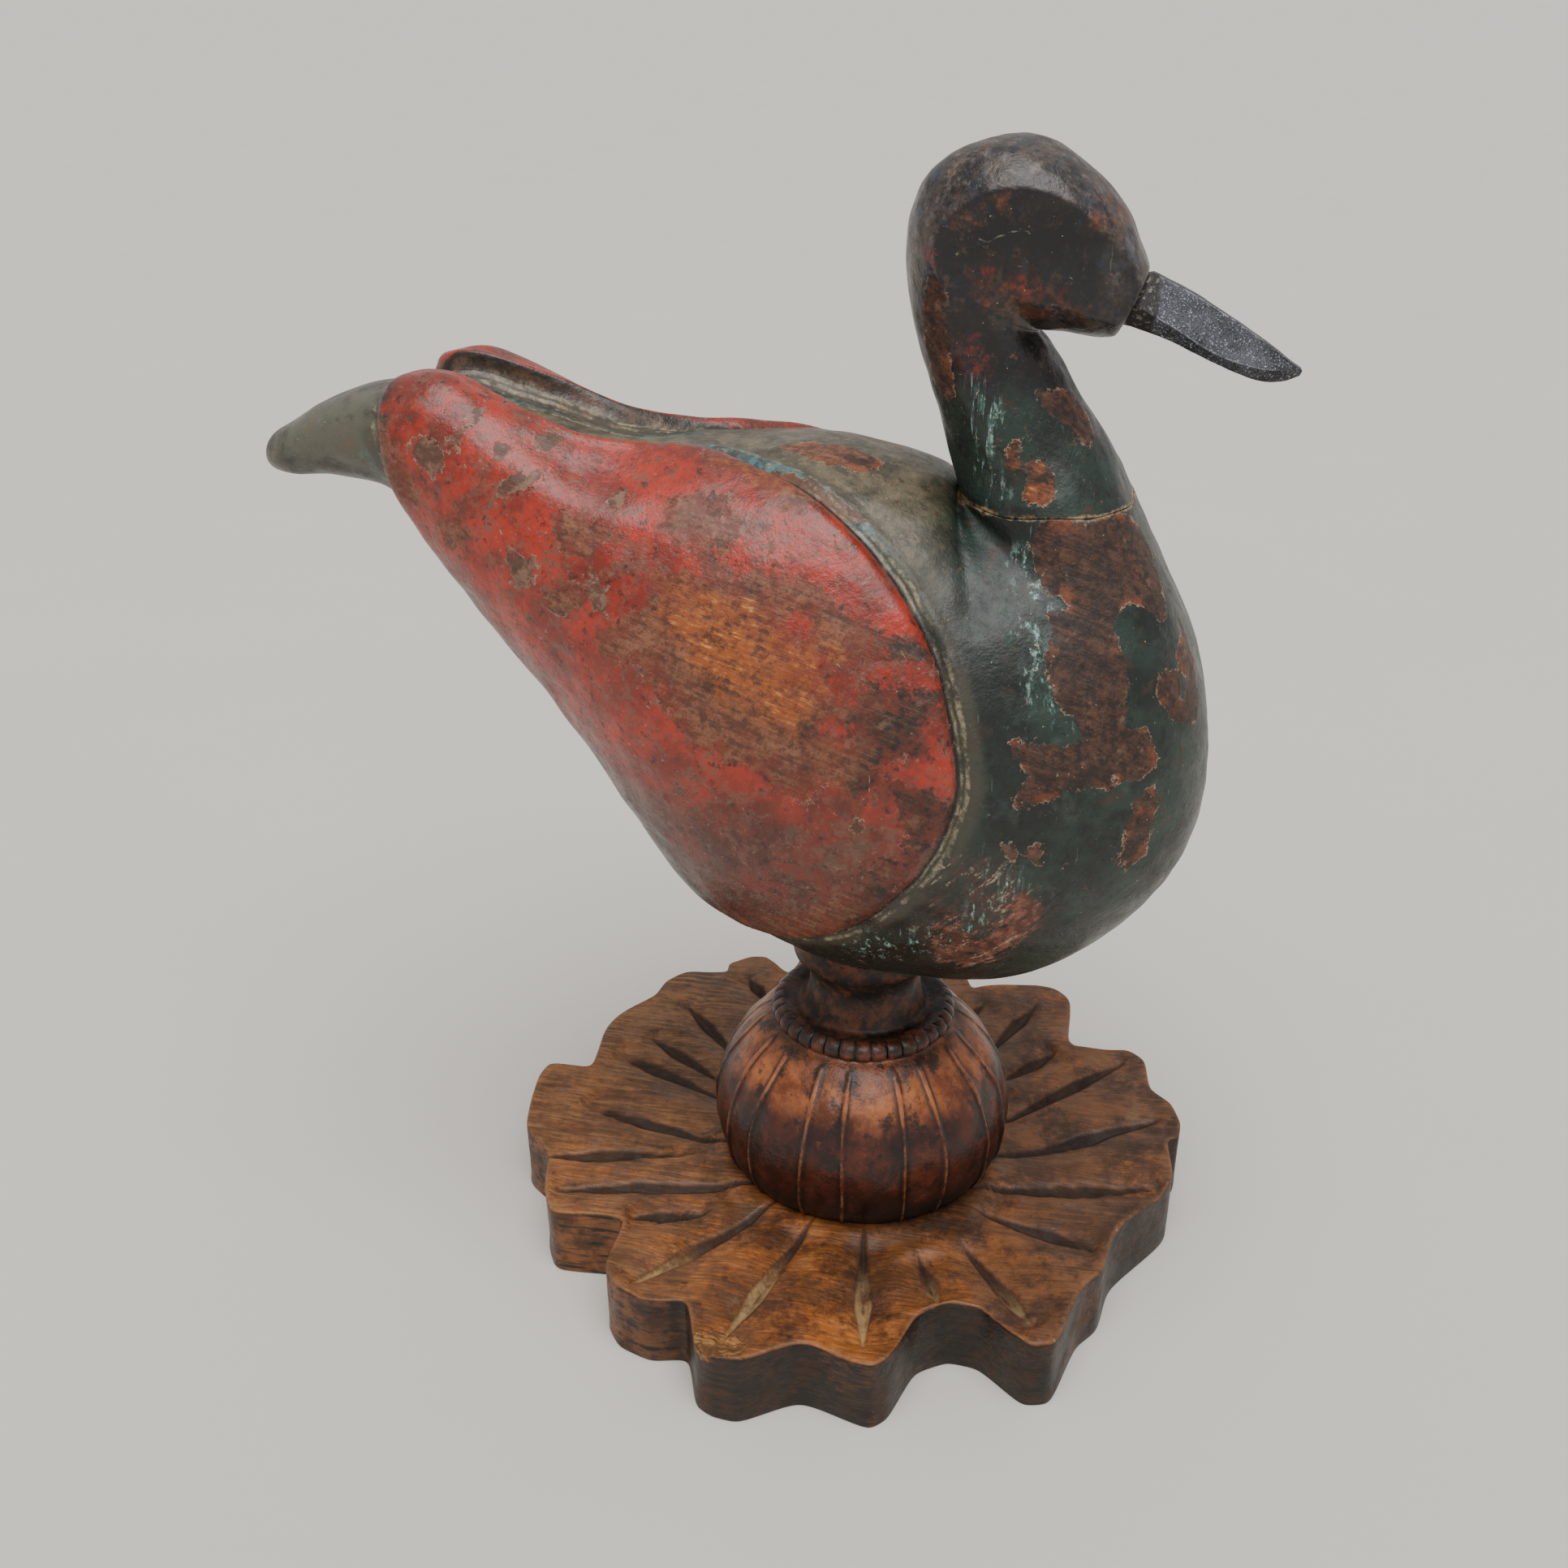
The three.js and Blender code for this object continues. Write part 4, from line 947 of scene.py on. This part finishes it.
# %% The coats of paint
def red_coat(r, vivid):
    """Brick red, brightest where the vivid signal is high, dull brown below, greyed and dotted by dirt."""
    bright = r.mottled("7c2418", "a62d1b", 5, 0.42, 0.58)
    bright = r.mottled(bright, "b2432e", 2.2, 0.56, 0.7, 0.4)
    dull = r.mottled("4c241a", "6e2a1d", 4, 0.42, 0.56)
    dull = r.mottled(dull, "5a4233", 2.4, 0.5, 0.62, 0.75)
    red = r.over(dull, bright, vivid)
    red = r.mottled(red, "43261c", 6, 0.5, 0.62, 0.65, detail=9, rough=0.74)
    red = r.mottled(red, "6e4c3e", 1.5, 0.5, 0.6, 0.65, detail=9, rough=0.76)
    red = r.mottled(red, "51352a", 0.7, 0.54, 0.64, 0.6, detail=6, rough=0.74)
    red = r.mottled(red, "281510", 1.1, 0.57, 0.66, 0.75, detail=5)
    return r.mottled(red, "9b7c6d", 0.6, 0.62, 0.7, 0.55, detail=4)


def green_coat(r):
    """Green so dark that it is nearly black, clouded with greyer and blacker paint."""
    green = r.mottled("0d1611", "1d2f26", 7, 0.4, 0.58)
    green = r.mottled(green, "070a09", 3.4, 0.5, 0.62, 0.8, detail=8)
    green = r.mottled(green, "3d4a43", 5, 0.53, 0.68, 0.55, detail=8, rough=0.72)
    green = r.mottled(green, "34261c", 2.4, 0.56, 0.66, 0.7)
    return r.mottled(green, "050606", 0.9, 0.58, 0.68, 0.7, detail=4)


def back_coat(r, wing, middle, small):
    """Olive and brown between the wings, with a teal line in the furrow and pale worn lines on both sides."""
    olive = r.mottled("3d3729", "665d48", 3, 0.38, 0.62)
    olive = r.mottled(olive, "1c2119", 2.6, 0.5, 0.68, 0.65, detail=9, rough=0.72)
    olive = r.mottled(olive, "7d6a52", 1.2, 0.52, 0.66, 0.7, detail=8, rough=0.72)
    place = wing + (middle - 0.5) * 3 + (small - 0.5) * 1.2
    teal = r.mottled("1d3538", "4a7678", 1.6, 0.42, 0.58)
    coat = r.over(olive, teal, r.rise(place, -6.6, -5.6) * r.rise(r.field("crest"), 0.1, 0.5))
    coat = r.over(coat, teal, r.rise(place, -3.9, -3.0))
    far_side = r.add("SeparateXYZ", {0: r.place}, "Y") + (middle - 0.5) * 3
    coat = r.over(coat, r.mottled("3a261b", "6b4a35", 2, 0.42, 0.58), r.rise(far_side, 4, 7) * 0.9)
    pale = r.rise(0.4 - abs(place + 3.2), -0.1, 0.3) + r.rise(0.45 - abs(place + 0.5), -0.1, 0.3)
    pale = pale + r.rise(0.4 - abs(place + 6.8), -0.1, 0.3) * r.field("crest")
    return r.over(coat, "9d9276", pale * r.rise(small, 0.42, 0.58) * 0.75)


def head_coat(r, middle, small):
    """Near-black with brown where the hand has rubbed it, orange-brown where it was rubbed most, and on the crown a
    lighter grey-brown and blue-grey coat that is partly rubbed paint and partly a painted sheen.
    """
    head = r.mottled("060608", "121319", 6, 0.4, 0.6)
    head = r.mottled(head, "22150e", 3.6, 0.48, 0.62, 0.8, detail=9, rough=0.72)
    head = r.mottled(head, "4f3726", 1.6, 0.54, 0.67, 0.6, detail=8, rough=0.72)
    head = r.mottled(head, "232d3c", 2.6, 0.56, 0.68, 0.6)
    head = r.mottled(head, "050506", 1.0, 0.55, 0.66, 0.7, detail=4)
    # The crown's coat: rubbed paint, lightened into a painted sheen of grey-brown and blue-grey
    worn_and_lit = r.mottled(r.mottled("2b2522", "56463b", 3, 0.38, 0.62), "84746a", 0.8, 0.5, 0.66, 0.7)
    worn_and_lit = r.mottled(worn_and_lit, "4f5766", 2.4, 0.48, 0.66, 0.6)
    head = r.over(head, worn_and_lit, r.field("crown") * r.rise(middle * 0.4 + small * 0.6, 0.36, 0.6) * 0.75)
    rubbed = r.rise(r.field("rubbed") + (middle - 0.5) * 14 + (small - 0.5) * 6, -1.5, 2.5)
    head = r.over(head, "4c2818", rubbed * r.rise(middle, 0.4, 0.56) * 0.85)
    head = r.over(head, "7d4528", rubbed * r.rise(small, 0.52, 0.64) * 0.55)
    reds = r.rise(r.field("red") + (middle - 0.5) * 12 + (small - 0.5) * 5, -1.0, 1.6)
    return r.over(head, r.mottled("4a1711", "74251a", 1.2, 0.42, 0.6), reds * r.rise(small, 0.42, 0.58) * 0.8)


# %% Paint over wood, with everything that happened to it since
def painted_wood(name):
    """Red wings, green body and neck, near-black head, all worn and chipped down to the wood."""
    r = Recipe(name, grain=(9, 0.5, 0.5), tilt=math.radians(17))
    flake = r.cloud(5, 9, 0.7, shift=5.0)
    middle, small = r.cloud(2.2, 6, 0.66, shift=6.0), r.cloud(0.7, 4, 0.66, shift=7.0)
    tiny = r.cloud(0.3, 2, 0.6, shift=8.0)
    wing, vivid = r.field("wing"), r.rise(r.field("vivid") + (middle - 0.5) * 0.8, 0.2, 0.8)
    on_wing = r.rise(wing, -1.0, 0.5)

    brushed = r.add("Mapping", {"Vector": r.place, "Rotation": (0, math.radians(-48), 0), "Scale": (4, 1, 0.7)},
                    vector_type="TEXTURE")
    smear = r.cloud(1.2, 6, 0.68, brushed, 23.0)
    scuffed = r.field("scuff")
    gone = r.field("bare") + (flake - 0.5) * (9 + on_wing * 12) + (small - 0.5) * (3 + on_wing * 3)
    gone = gone + scuffed * (smear - 0.54) * 26
    nicked = r.field("chip") + (middle - 0.5) * 7 + (small - 0.5) * 4
    crumbs = r.cloud(1.5, 7, 0.7, shift=16.0)
    bare = r.rise(gone, -0.08 - on_wing * 0.5, 0.08 + on_wing * 1.2)
    chipped = r.rise(nicked, -0.08, 0.1)
    crumbled = r.rise(crumbs + on_wing * 0.025, 0.655, 0.662)
    shown = 1 - (1 - bare) * (1 - chipped) * (1 - crumbled)

    ochre = r.rise(r.field("ochre") + (flake - 0.5) * 2.4, 0.3, 1.0)
    dirt = r.rise(r.field("dirt") + (flake - 0.5) * 1.4, 0.2, 0.9)
    wood, fibre, grit = bare_wood(r, ochre, dirt)
    edging = r.rise(gone, 2.6, 0.3) * (1 - on_wing)
    wood = r.over(wood, "86421f", edging * r.rise(middle, 0.5, 0.62) * 0.6)
    left = on_wing * r.rise(gone, 9, 0.4) * r.rise(r.cloud(1.4, 8, 0.72, shift=18.0), 0.45, 0.56)
    wood = r.over(wood, "6b2618", left * 0.75)
    dust = r.mottled("4d3527", "80604c", 1.2, 0.44, 0.6)
    wood = r.over(wood, dust, (1 - bare) * (chipped * 0.8 + crumbled * 0.5) * (on_wing * 0.6 + 0.4))
    scuff = scuffed * r.rise(flake * 0.4 + smear * 0.6, 0.44, 0.54)
    wood = r.over(wood, r.mottled("5e3227", "945c4a", 1.0, 0.44, 0.6), scuff * 0.8)

    green = green_coat(r)
    tail = r.mottled(r.mottled("302f27", "565447", 5, 0.4, 0.58), "6d4e34", 2, 0.54, 0.66, 0.6)
    tail = r.over(tail, "55787a", r.rise(small * 0.5 + flake * 0.5, 0.56, 0.62) * 0.5)
    green = r.over(green, tail, r.field("tail"))
    green = r.over(green, back_coat(r, wing, middle, small), r.field("back"))
    dark_edge = r.field("dark") + (flake - 0.5) * 1.6
    green = r.over(green, head_coat(r, middle, small), r.rise(dark_edge, 0.2, 0.8))
    edge = wing - r.field("crest") * 1.1 + (small - 0.5) * 0.9 + (middle - 0.5) * 0.8
    paint = r.over(green, red_coat(r, vivid), r.rise(edge, -0.1, 0.1))
    rind = r.mottled("2c231b", "574636", 1.6, 0.42, 0.58)
    paint = r.over(paint, rind, r.field("end") * on_wing * r.rise(small, 0.34, 0.46))

    streak = r.add("Mapping", {"Vector": r.place, "Scale": (0.6, 0.6, 5)}, vector_type="TEXTURE")
    washed = r.cloud(1, 5, 0.68, streak, 17.0)
    pale = r.field("pale")
    colour = r.over(paint, wood, shown)
    intact = (1 - shown) * (1 - on_wing)
    colour = r.over(colour, "4d3027", scuff * intact * 0.7)
    colour = r.over(colour, "a39d86", scuffed * r.rise(smear + (tiny - 0.5) * 0.3, 0.58, 0.64) * 0.7)
    colour = r.over(colour, "4d7572", pale * intact * r.rise(washed, 0.52, 0.6) * 0.7)
    colour = r.over(colour, "a3c4bf", pale * intact * r.rise(washed + (small - 0.5) * 0.5, 0.6, 0.65) * 0.85)
    colour = r.over(colour, "a79c7c", pale * r.rise(tiny * 0.5 + washed * 0.5, 0.58, 0.61) * 0.8)
    colour = r.over(colour, "5f6b62", intact * r.rise(washed, 0.64, 0.69) * 0.5)
    colour = r.over(colour, "a89c84", r.rise(tiny, 0.71, 0.75) * (1 - on_wing * 0.5) * 0.8)

    colour = r.over(colour, "423c30", r.rise(2.4 - abs(wing + 2.4), -1.0, 1.2) * r.rise(flake, 0.36, 0.52) * 0.75)
    for gap, wide in ((0.9, 0.25), (2.0, 0.35)):
        line = r.rise(wide - abs(wing + gap + (middle - 0.5) * 1.8 + (small - 0.5) * 0.5), -0.25, 0.25)
        kept = r.rise(r.cloud(3.5, 8, 0.72, shift=20 + gap), 0.45, 0.56)
        colour = r.over(colour, r.over("6b624c", "9f9478", r.rise(small, 0.42, 0.6)), line * kept * 0.8)
    colour = r.over(colour, "120e0c", r.rise(0.5 - abs(edge + 0.25), -0.1, 0.4) * r.rise(middle, 0.3, 0.5) * 0.85)

    thin = r.rise(0.22 - abs(gone + 0.12), 0.0, 0.15) * r.rise(middle, 0.47 + 0.05 * on_wing, 0.55 + 0.05 * on_wing)
    thin = thin + r.rise(0.3 - abs(nicked + 0.1), 0.0, 0.2) * r.rise(small, 0.46, 0.56) * (1 - bare)
    thin = thin + r.rise(0.006 - abs(crumbs + on_wing * 0.025 - 0.65), 0.0, 0.003) * (1 - bare) * 0.5
    colour = r.over(colour, r.over("a4876f", "a08571", on_wing), thin * 0.7)
    # Near-black on the underside and the lower rear: partly dark paint, partly painted shade
    colour = r.over(colour, "0d0a08", r.field("low") * r.rise(middle, 0.35, 0.6) * 0.85)

    crack = r.rise(r.field("crack") + (small - 0.5) * 0.7, 0.22, 0.06) * r.rise(middle, 0.38, 0.48)
    joint = r.rise(r.field("joint") + (flake - 0.5) * 3 + (middle - 0.5) * 2.4 + (small - 0.5) * 2, 0.6, 0.2)
    colour = r.over(colour, r.over("a39375", "7d705a", r.field("dark")), crack * 0.7)
    colour = r.over(colour, r.over("4d3b2b", "a38968", r.rise(small, 0.4, 0.58)), joint * 0.85)

    rough = 0.4 - 0.12 * on_wing + 0.14 * r.rise(flake, 0.42, 0.64) + 0.2 * shown + 0.2 * r.rise(small, 0.5, 0.7)
    rough = rough - 0.1 * r.field("crown")
    height = (1 - bare) * 0.7 + (1 - chipped) * 0.4 + (1 - crumbled) * 0.35 + thin * 0.2
    height = height + middle * 0.6 + small * 0.5 + tiny * 0.2 + shown * (fibre * 0.7 + grit * 0.6)
    height = height - crack * 0.5
    return r.finish(colour, rough, height, 0.42, IOR=1.46, Coat_Weight=0.2, Coat_Roughness=0.22)


# %% [markdown]
# ## The stained wood of the stand
#
# The base is a brown hardwood, stained dark and rubbed back to orange on its top and edges; painted light makes
# its front and left lighter, and painted shade its walls, far side and back cuts darker. The ball is a redder stain
# with a satin shine, darker low down with a painted shade where it meets the base, and darker in the hollows, beside
# the ribs as dirt and painted shade. Its top is painted lighter as painted light, and its rib crests are lighter,
# partly rubbed and partly a painted highlight.

# %% Base
def stained_base(name):
    """Streaks 12 mm long and 0.4 mm wide run with the grain under blotches of orange and of black, with a raw fibrous
    chip and rubbed edges with a painted highlight. Painted light makes the front, the left and the cuts in front
    lighter, and painted shade makes the walls, the far side and the other cuts darker."""
    r = Recipe(name, grain=(12, 0.6, 0.6))
    fibre, fine = r.cloud(1, 5, 0.65, r.grain), r.cloud(0.5, 4, 0.62, r.grain, 2.0)
    flake, small = r.cloud(7, 8, 0.68, shift=3.0), r.cloud(0.8, 4, 0.64, shift=4.0)
    middle = r.cloud(3, 6, 0.66, shift=6.0)
    cut, edge, chip, lit_front = r.field("cut"), r.field("edge"), r.field("chip"), r.field("lit_front")
    left = r.field("left")
    upright = r.add("SeparateXYZ", {0: r.add("NewGeometry", {}, "Normal")}, "Z")
    top = r.rise(upright, 0.15, 0.6)

    # Painted light: the front and left of the top in lighter, warmer browns with orange highlights; the far side darker
    # as painted shade
    dark_tone = r.over("452c1b", "55331a", lit_front)
    light_tone = r.over("714728", "8a4f22", lit_front)
    colour = r.over(dark_tone, light_tone, r.rise(flake * 0.7 + fine * 0.3, 0.42, 0.58))
    colour = r.mottled(colour, "a8612a", 6, 0.52, 0.66, 0.5)
    colour = r.over(colour, "c4854a", lit_front * r.rise(fine * 0.5 + flake * 0.5, 0.54, 0.62) * 0.4)
    colour = r.mottled(colour, "26150b", 6, 0.5, 0.62, 0.7, detail=9, rough=0.72)
    colour = r.mottled(colour, "1a0f09", 1.2, 0.58, 0.68, 0.55)
    colour = r.over(colour, "2f1d10", r.rise(fibre, 0.5, 0.64) * 0.4)
    colour = r.mottled(colour, "78604a", 3, 0.56, 0.7, 0.4)
    # Painted light: the left of the top in a lighter brown
    lit_left_tone = r.over("664429", "94683f", r.rise(fine * 0.6 + small * 0.4, 0.42, 0.58))
    colour = r.over(colour, lit_left_tone, left * r.rise(flake * 0.3 + fibre * 0.7, 0.4, 0.58) * 0.7)
    # Painted shade: the walls, the faces turned sideways, in near-black brown; the top, facing up, keeps the lighter
    # colour
    wall = r.over("140c07", "361f0f", r.rise(middle * 0.5 + fibre * 0.5, 0.42, 0.58))
    wall = r.mottled(wall, "070402", 4, 0.48, 0.62, 0.8)
    wall = r.over(wall, "61391a", r.rise(fine * 0.4 + flake * 0.6, 0.54, 0.62) * 0.55)
    # Painted light: the walls on the left in a warmer orange-brown
    wall = r.over(wall, r.mottled("4d2d14", "84502a", 3, 0.42, 0.58), left * r.rise(fibre, 0.36, 0.54) * 0.85)
    colour = r.over(wall, colour, top)
    # In the cuts: painted light in tan in those at the front, painted shade in the others, and darkest at the bottom of
    # each cut
    lit_cut_tone = r.over("6b4f30", "a3875c", r.rise(middle * 0.5 + small * 0.5, 0.4, 0.56))
    lit_cuts = r.field("lit_cuts")
    colour = r.over(colour, "1a0f08", r.rise(cut, 0.0, 0.35) * (1 - lit_cuts) * 0.85)
    colour = r.over(colour, lit_cut_tone, lit_cuts * r.rise(cut, 0.12, 0.4) * r.rise(flake, 0.32, 0.46) * top * 0.8)
    colour = r.over(colour, "2a1b0f", r.rise(cut, 0.78, 0.92) * top * 0.7)
    # The top edge: rubbed wood and a painted highlight where the edge faces up
    worn_and_lit = r.rise(edge + (small - 0.5) * 2, 1.2, 0.3) * r.rise(upright, 0.1, 0.4)
    colour = r.over(colour, "7d5330", worn_and_lit * r.rise(middle, 0.44, 0.6) * 0.55)
    colour = r.over(colour, "bb9a75", worn_and_lit * r.rise(small, 0.58, 0.66) * r.rise(middle, 0.52, 0.6) * 0.6)
    raw = r.rise(chip + (small - 0.5) * 0.5 + (middle - 0.5) * 0.7, 0.16, 0.2)
    splinters = r.add("Mapping", {"Vector": r.place, "Scale": (2.6, 0.5, 0.5)}, vector_type="TEXTURE")
    splinter = r.cloud(1, 4, 0.7, splinters, 9.0)
    colour = r.over(colour, r.over("55351a", "a3743f", r.rise(splinter, 0.42, 0.6)), raw * 0.8)
    rough = 0.4 + 0.2 * r.rise(middle, 0.4, 0.7) + 0.2 * raw + 0.1 * r.rise(small, 0.5, 0.7)
    rough = rough + 0.25 * r.rise(cut, 0.0, 0.3)
    height = fibre * 0.5 + fine * 0.4 + small * 0.4 + middle * 0.4 + raw * splinter * 2
    return r.finish(colour, rough, height, 0.3, IOR=1.45)


# %% Ball
def satin_ball(name):
    """Red-brown stain, blotched dark, painted lighter at the top as painted light, near-black towards the bottom as
    painted shade, black in the deep neck, with crests that are partly rubbed and partly a painted highlight, and a dark
    line of dirt and painted shade on both sides."""
    r = Recipe(name, grain=(1, 1, 9))
    flake, middle, small = r.cloud(5, 8, 0.68), r.cloud(2, 6, 0.66, shift=2.0), r.cloud(0.6, 4, 0.64, shift=3.0)
    fibre = r.cloud(1, 4, 0.6, r.grain, 4.0)
    rib, height_field, along = r.field("rib"), r.field("height"), r.field("along")
    # Painted light: the upper part of the ball is painted lighter and more orange
    high = r.rise(height_field + (middle - 0.5) * 8, 22, 30)
    colour = r.over("2f1108", "54200d", r.rise(flake, 0.4, 0.6))
    colour = r.over(colour, r.over("84401b", "cf7a42", r.rise(flake, 0.4, 0.58)), high * 0.9)
    colour = r.mottled(colour, "743016", 4, 0.52, 0.66, 0.55)
    colour = r.mottled(colour, "8d4826", 1.8, 0.58, 0.7, 0.45)
    colour = r.mottled(colour, "190b07", 2.6, 0.52, 0.62, 0.85, detail=8, rough=0.7)
    colour = r.over(colour, "2a120b", r.rise(fibre, 0.5, 0.66) * 0.4)
    # Painted shade: near-black towards the bottom, where the ball meets the base
    colour = r.over(colour, "0b0604", r.rise(height_field + (middle - 0.5) * 9, 11, 3) * 0.93)
    # Beside each rib a dark line, partly dirt and partly painted shade; on its crest a lighter line, partly rubbed and
    # partly a painted highlight
    rib_valley_dirt_and_shade = r.rise(0.42 - abs(rib - 0.32), 0.0, 0.3)
    colour = r.over(colour, "120906", rib_valley_dirt_and_shade * r.rise(middle, 0.3, 0.52) * 0.85)
    crest = r.rise(rib + (small - 0.5) * 0.9, 0.7, 1.0) * r.rise(middle, 0.38, 0.56)
    colour = r.over(colour, "8e5a3c", crest * 0.6)
    above = r.rise(along + (middle - 0.5) * 0.8, 5.6, 7.6)
    colour = r.over(colour, "1c0f0a", above * r.rise(flake, 0.42, 0.55) * 0.85)
    beaded = r.rise(along, 8.2, 8.8)
    colour = r.over(colour, r.mottled("1b0e09", "5c2c19", 1.4, 0.44, 0.6), beaded * r.rise(middle, 0.34, 0.5) * 0.85)
    neck = r.rise(along, 10.9, 11.6)
    dark_neck = r.mottled("20130c", "5a3018", 2, 0.44, 0.6)
    dark_neck = r.mottled(dark_neck, "0a0605", 2.4, 0.48, 0.6, 0.9)
    colour = r.over(colour, dark_neck, neck)
    colour = r.over(colour, "080504", r.rise(r.field("bead"), 0.1, 0.6) * 0.95)
    rough = 0.33 + 0.2 * r.rise(flake, 0.4, 0.65) + 0.15 * neck + 0.12 * r.rise(small, 0.5, 0.7)
    height = middle * 0.6 + small * 0.5 + fibre * 0.3
    return r.finish(colour, rough, height, 0.35, IOR=1.47, Coat_Weight=0.1, Coat_Roughness=0.25)


# %% [markdown]
# ## The grey bill
#
# The bill looks like old forged metal rubbed with graphite: dark grey, with fine pale grains painted as its glints, a
# painted highlight along its edges, and chalky remains of filler round its root.

# %% Bill, then each piece gets its finish
def forged_bill(name):
    """Dark grey with pale grains of 0.2 mm painted as glints, a painted highlight along the edges, and pale flecks near
    the face.
    """
    r = Recipe(name)
    grains, small, middle = r.cloud(0.16, 3, 0.75), r.cloud(0.5, 4, 0.66, shift=2.0), r.cloud(3, 5, 0.6, shift=3.0)
    mixed = grains * 0.75 + small * 0.25
    colour = r.over("303136", "4b4c53", r.rise(middle, 0.38, 0.62))
    # Painted glints: pale grains on the dark grey
    colour = r.over(colour, "c4c6cd", r.rise(mixed, 0.55, 0.64) * 0.7)
    colour = r.over(colour, "141417", r.rise(mixed, 0.46, 0.38) * 0.6)
    # Painted highlight along the edges of the bill
    colour = r.over(colour, "a6a7ac", r.field("arris") * r.rise(small, 0.36, 0.56) * 0.7)
    root = r.field("root") + (middle - 0.5) * 6
    colour = r.over(colour, "241f1a", r.rise(root, 2.0, 0.8) * 0.85)
    colour = r.over(colour, "8a8275", r.rise(root, 1.2, 0.2) * r.rise(small, 0.54, 0.62) * 0.6)
    rough = 0.32 + 0.3 * r.rise(mixed, 0.4, 0.6)
    return r.finish(colour, rough, mixed, 0.12, Metallic=0.6)


finishes = {
    "painted_body": painted_wood("worn_oil_paint_on_body"), "painted_head": painted_wood("worn_oil_paint_on_head"),
    "grey_bill": forged_bill("forged_grey_metal"), "ribbed_ball_wood": satin_ball("satin_red_brown_wood"),
    "petal_base": stained_base("stained_hardwood"),
}
for name, material in finishes.items():
    pieces[name].data.materials.append(material)
    print(name, "has", len(material.node_tree.nodes), "nodes")

# %% [markdown]
# ## Room, camera and light
#
# The carving stands in a bright pale room. One broad patch of daylight comes from high above on the camera's
# side, which is where the crown and the shoulder mirror it, and the rest of the room lights everything evenly.

# %% Floor, camera, light
def floor_finish():
    r = Recipe("pale_floor")
    colour = r.over("cdc9c1", "d2cec6", r.cloud(60, 3, 0.5))
    return r.finish(colour, 0.7, r.cloud(2, 2, 0.5), 0.02)


reach_of_floor = 60.0
floor_mesh = bpy.data.meshes.new("floor")
corners = [(-1, -1, 0), (1, -1, 0), (1, 1, 0), (-1, 1, 0)]
floor_mesh.from_pydata([[reach_of_floor * c for c in corner] for corner in corners], [], [(0, 1, 2, 3)])
floor = bpy.data.objects.new("floor", floor_mesh)
floor_mesh.materials.append(floor_finish())
scene.collection.objects.link(floor)

camera_data = bpy.data.cameras.new("camera")
camera_data.sensor_width = 36
camera_data.lens = 37.27
camera_data.clip_end = 100
camera = bpy.data.objects.new("camera", camera_data)
camera.location = (0.03886, -0.29013, 0.2512)
camera.rotation_euler = (math.radians(90 - 26.45), 0, math.radians(11))
scene.collection.objects.link(camera)
scene.camera = camera


daylight = bpy.data.lights.new("daylight", "SUN")
daylight.energy = 3.0
daylight.angle = math.radians(52)
daylight_object = bpy.data.objects.new("daylight", daylight)
FROM_AZIMUTH, FROM_HEIGHT = math.radians(-75), math.radians(70)
daylight_object.rotation_euler = (0, math.radians(90) - FROM_HEIGHT, FROM_AZIMUTH)
scene.collection.objects.link(daylight_object)
world = bpy.data.worlds.new("room")
world.use_nodes = True
world.node_tree.nodes["Background"].inputs["Color"].default_value = (1.0, 0.985, 0.96, 1)
world.node_tree.nodes["Background"].inputs["Strength"].default_value = 0.6
scene.world = world

# %% Each piece rides on the carving's one body and stands for its solid
SLOTS = {"painted_body": ("duck_body", "worn_paint"), "painted_head": ("head_and_neck", "dark_paint"),
         "grey_bill": ("bill", "grey_metal"), "ribbed_ball_wood": ("ribbed_ball", "red_brown_wood"),
         "petal_base": ("lotus_base", "stained_wood")}
for name, (node_name, slot_name) in SLOTS.items():
    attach(pieces[name], "root")
    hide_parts(node_name)
